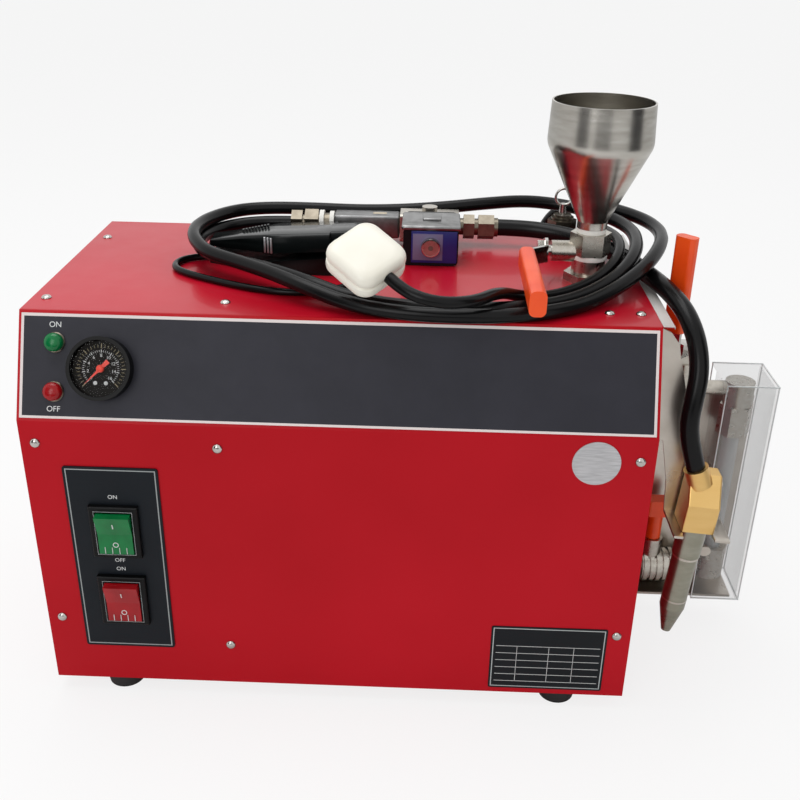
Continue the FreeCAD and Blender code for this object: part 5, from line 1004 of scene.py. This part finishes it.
treadle = bmesh.new()
skin(treadle, [treadle_section(*row) for row in TREADLE])
settle("treadle_shell", treadle, [pedal_plastic], "treadle", ["pedal_treadle"])
# Three bright silver bars: a painted highlight where the rounded corner of the treadle would glint.
bars = bmesh.new()
for x, front in ((-60.8, -3.7), (-58.4, -4.6), (-56, -5.6)):
    block(bars, (x - 0.7, front, 307.8), (x + 0.7, front + 2.6, 319.2), 0.25)
settle("treadle_highlight_bars", bars, [disc_silver], "treadle")

# %% Pedal base
def base_section(x, half):
    low, top = 292, along_pedal(x, 297, 10)
    return [(x, PEDAL_Y + y, z) for y, z in ((-half, low), (-half, top), (half, top), (half, low))]


base = bmesh.new()
skin(base, [base_section(x, half) for x, half in ((NOSE_X, 12), (-57, 35), (HEEL_X, 35))])
block(base, (-11, -5, 300), (HEEL_X, -1, 319), 0.6)
settle("pedal_shell", base, [pedal_plastic], replaces=["pedal_base", "pedal_pin"])

# %% Treadle notches
notches = Grower("notches", count=9, pitch=2.3 * MM, rise=0.5 * MM, wide=1.2 * MM, high=1.8 * MM,
                 deep=3.0 * MM)
given = notches.given
row = notches.add("GeometryNodeMeshLine", {
    "Count": given["count"], "Offset": notches.vector(given["pitch"], 0, given["rise"])})
teeth = notches.add("GeometryNodeInstanceOnPoints", {
    "Points": row.outputs[0], "Instance": notches.box(given["wide"], given["deep"], given["high"])})
notch_mesh = notches.grow(teeth.outputs[0], host_of([(0, 0, 0)]), pedal_plastic)
notch_mesh.transform(Matrix.Translation(Vector((-80, 20.5, 316.9)) * MM))
place_mesh("treadle_notches", notch_mesh, [pedal_plastic], "treadle")

# %% [markdown]
# ## The steam valve
# The coil is a black block under a folded steel yoke. On its front a blank blue plate sits behind a round
# cap with a bright rim and a copper-toned face. A square sleeve and two white seal rings join the valve to
# its hose. All are square or turned, so blocks and lathed outlines are enough.

# %% Coil
CAP_PLACE = (58.5, 23.9, 307)
TO_FRONT = (0, -1, 0)
yoke = bmesh.new()
block(yoke, (36.6, 23, 319.2), (80.4, 62, 322.8), 1.5)
block(yoke, (52, 38, 322.4), (66, 52, 324.6), 1)
settle("coil_yoke", yoke, [yoke_steel])
plate = bmesh.new()
block(plate, (44, 23.3, 294.6), (78, 24.1, 318.8), 0.3)
block(plate, (45, 23.0, 296.6), (67.5, 23.5, 317), 0.15, finish=1)
settle("coil_plate", plate, [plate_blue, plate_lilac])
cap = bmesh.new()
lathe(cap, [(0, 0), (7.3, 0), (7.3, 3.6), (6.9, 4.5), (6.0, 4.6), (5.8, 4.1), (0, 4.1)], CAP_PLACE, TO_FRONT)
lathe(cap, [(0, 4.05), (5.7, 4.05), (5.7, 4.3), (0, 4.45)], CAP_PLACE, TO_FRONT, finish=1)
settle("coil_cap", cap, [bright_steel, copper_face])

# %% Valve sleeve and rings
sleeve = bmesh.new()
block(sleeve, (-18, 71.1, 298.1), (33.6, 88.9, 315.9), 1.6)
settle("valve_sleeve", sleeve, [yoke_steel])
rings = bmesh.new()
for start, radius in ((-29.6, 10.2), (-21.6, 9.6)):
    lathe(rings, [(6, 0), (radius, 0), (radius, 3.4), (6, 3.4), (6, 0)], (start, 80, 307), (1, 0, 0))
settle("valve_rings", rings, [white_tape])

# %% [markdown]
# ## The nozzle's rest
# The nozzle hangs in a fork of the steel holder. The fork's two toes reach forward on each side of the
# tube. Fine rings mark the steps where the tube grows slimmer: a turned edge catches light, and a painted
# line would not.

# %% Rest and rings
NOZZLE_PLACE = Vector((248.5, -95.5, 148))
NOZZLE_LEAN = math.radians(4.65)
nozzle_turn = Matrix.Rotation(NOZZLE_LEAN, 3, "Y")
nozzle_axis = nozzle_turn @ Vector((0, 0, 1))
toes = bmesh.new()
for start, stop in ((-17.5, -10.8), (10.8, 21.5)):
    middle = NOZZLE_PLACE + nozzle_turn @ Vector(((start + stop) / 2, -4.5, -1))
    half_size = Vector((stop - start, 28, 2)) / 2
    block(toes, middle - half_size, middle + half_size, 0.4, nozzle_turn)
settle("rest_toes", toes, [sheet_steel])
steps = bmesh.new()
for radius, high, low in ((9.4, -24.6, -26.2), (9.12, -62, -63.2)):
    lathe(steps, [(7, high), (radius, high), (radius, low), (7, low), (7, high)], NOZZLE_PLACE, nozzle_axis)
settle("nozzle_ring", steps, [sheet_steel], "handpiece")

# %% [markdown]
# ## Tape, edges and lines
# White tape seals the threads above and below the filler's hexagon. The cut edges of the acrylic guard
# are bright, because light that enters its faces comes out there; slim bars show that far sooner than real
# refraction would. The ruled plate is left without words.

# %% Thread tape
tape = bmesh.new()
for low, high, radius in ((327.4, 332, 10.2), (308.4, 312.1, 12.7)):
    lathe(tape, [(radius - 4, low), (radius, low), (radius + 0.25, (low + high) / 2), (radius, high),
                 (radius - 4, high), (radius - 4, low)], (172.7, 3.5, 0), (0, 0, 1))
settle("thread_tape", tape, [white_tape])

# %% Bare lip of the top cover
lip = bmesh.new()
block(lip, (210.5, -88, 291.9), (218, 119.5, 292.3), 0.1)
block(lip, (217.9, -88, 290.6), (218.2, 119.5, 292.2), 0.1)
settle("cover_lip", lip, [lip_grey])

# %% Guard edges
BAR = 0.9
near, far = (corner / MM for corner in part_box("gauge_guard"))
edges = bmesh.new()
for x in (near.x, far.x - BAR):
    for y in (near.y, far.y - BAR):
        block(edges, (x, y, near.z), (x + BAR, y + BAR, far.z), 0.2)
for z in (near.z, far.z - BAR):
    for y in (near.y, far.y - BAR):
        block(edges, (near.x, y, z), (far.x, y + BAR, z + BAR), 0.2)
    block(edges, (far.x - BAR, near.y, z), (far.x, far.y, z + BAR), 0.2)
settle("guard_edges", edges, [edge_white])

# %% Ruled lines of the plate
ROWS, ROW_PITCH, MARGIN, FIRST_ROW = 6, 6.4, 4, 6.5
near, far = (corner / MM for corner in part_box("rating_plate"))
front, back = near.y - 0.08, near.y + 0.05
rules = bmesh.new()
for k in range(ROWS):
    z = near.z + FIRST_ROW + ROW_PITCH * k
    block(rules, (near.x + MARGIN, front, z), (far.x - MARGIN, back, z + 0.35), 0)
for column in (19, 42, 60):
    x = near.x + column
    block(rules, (x, front, near.z + FIRST_ROW), (x + 0.3, back, near.z + 38.6), 0)
settle("plate_rules", rules, [print_white])

# %% [markdown]
# ## The bench, the light and the room
# The floor and the room are white and even. Two large soft lamps light the machine from the front and from
# above; small ones would draw hard shadows. A floor lit until it is white would wash out the machine, so the
# camera sees it glow instead. Dark cards that only reflections see give the steel its dark bands.

# %% Floor
def stage_plane(name, corners, finish):
    mesh = bpy.data.meshes.new(name)
    mesh.from_pydata(corners, [], [(0, 1, 2, 3)])
    mesh.materials.append(finish)
    made = show(name, mesh)
    return made


def mixed_shader(made, factor, below, above, output):
    """Two shaders, the second as far as the factor says, on the tree's output."""
    both = made.add("ShaderNodeMixShader")
    for place, source in enumerate((factor, below, above)):
        made.tree.links.new(source, both.inputs[place])
    made.tree.links.new(both.outputs[0], made.tree.nodes[output].inputs[0])


floor_finish = Finish("floor_white", Roughness=0.9, Base_Color=(0.86, 0.86, 0.86, 1))
glow = floor_finish.add("ShaderNodeEmission", Strength=1.0)
seen = floor_finish.add("ShaderNodeLightPath").outputs["Is Camera Ray"]
mixed_shader(floor_finish, floor_finish.sums("MULTIPLY", seen, 0.8), floor_finish.shader.outputs[0],
             glow.outputs[0], "Material Output")
stage_plane("floor", [(-6, -6, 0), (6, -6, 0), (6, 8, 0), (-6, 8, 0)], floor_finish.material)
print("floor laid")

# %% Cards
card_black = Finish("card_black", Roughness=1.0, Base_Color=(0.03, 0.03, 0.035, 1)).material
# Each card by its two lower corners, in metres, and its height.
for name, start, stop, high in (
    ("card_left", (-1.5, -0.9), (-0.9, -1.5), 1.6),
    ("card_right", (1.1, -0.7), (1.4, -0.1), 1.6),
    ("card_low", (-0.5, -1.6), (0.5, -1.6), 0.35),
):
    card = stage_plane(name, [(*start, 0), (*stop, 0), (*stop, high), (*start, high)], card_black)
    card.visible_camera = False
    card.visible_diffuse = False
    card.visible_shadow = False
    card.visible_transmission = False
    print(name, "stands")

# %% Lamps of the studio
def soft_lamp(name, place, aim, size, power):
    data = bpy.data.lights.new(name, "AREA")
    data.shape = "RECTANGLE"
    data.size, data.size_y = size
    data.energy = power
    made = show(name, data)
    made.location = place
    made.rotation_euler = (Vector(aim) - Vector(place)).to_track_quat("-Z", "Y").to_euler()
    print(name, power, "W")


soft_lamp("lamp_above", (-0.3, 0.2, 1.9), (0, 0, 0.1), (1.4, 1.0), 14)
soft_lamp("lamp_front", (-0.9, -1.9, 1.2), (0, 0, 0.15), (1.2, 1.2), 11)

# %% Room
ROOM_LIGHT = 0.62
world = bpy.data.worlds.new("room")
bpy.context.scene.world = world
world.use_nodes = True
room = Recipe(world.node_tree)
plain_air = world.node_tree.nodes["Background"]
plain_air.inputs["Strength"].default_value = ROOM_LIGHT
plain_air.inputs["Color"].default_value = (1, 1, 1, 1)
white_air = room.add("ShaderNodeBackground", Color=(1, 1, 1, 1))
ray = room.add("ShaderNodeLightPath").outputs
sharp = room.sums("MAXIMUM", ray["Is Camera Ray"], ray["Is Transmission Ray"])
mixed_shader(room, room.sums("MAXIMUM", sharp, ray["Is Glossy Ray"]), plain_air.outputs[0],
             white_air.outputs[0], "World Output")
bpy.context.scene.view_settings.view_transform = "Standard"
print("room light", ROOM_LIGHT)
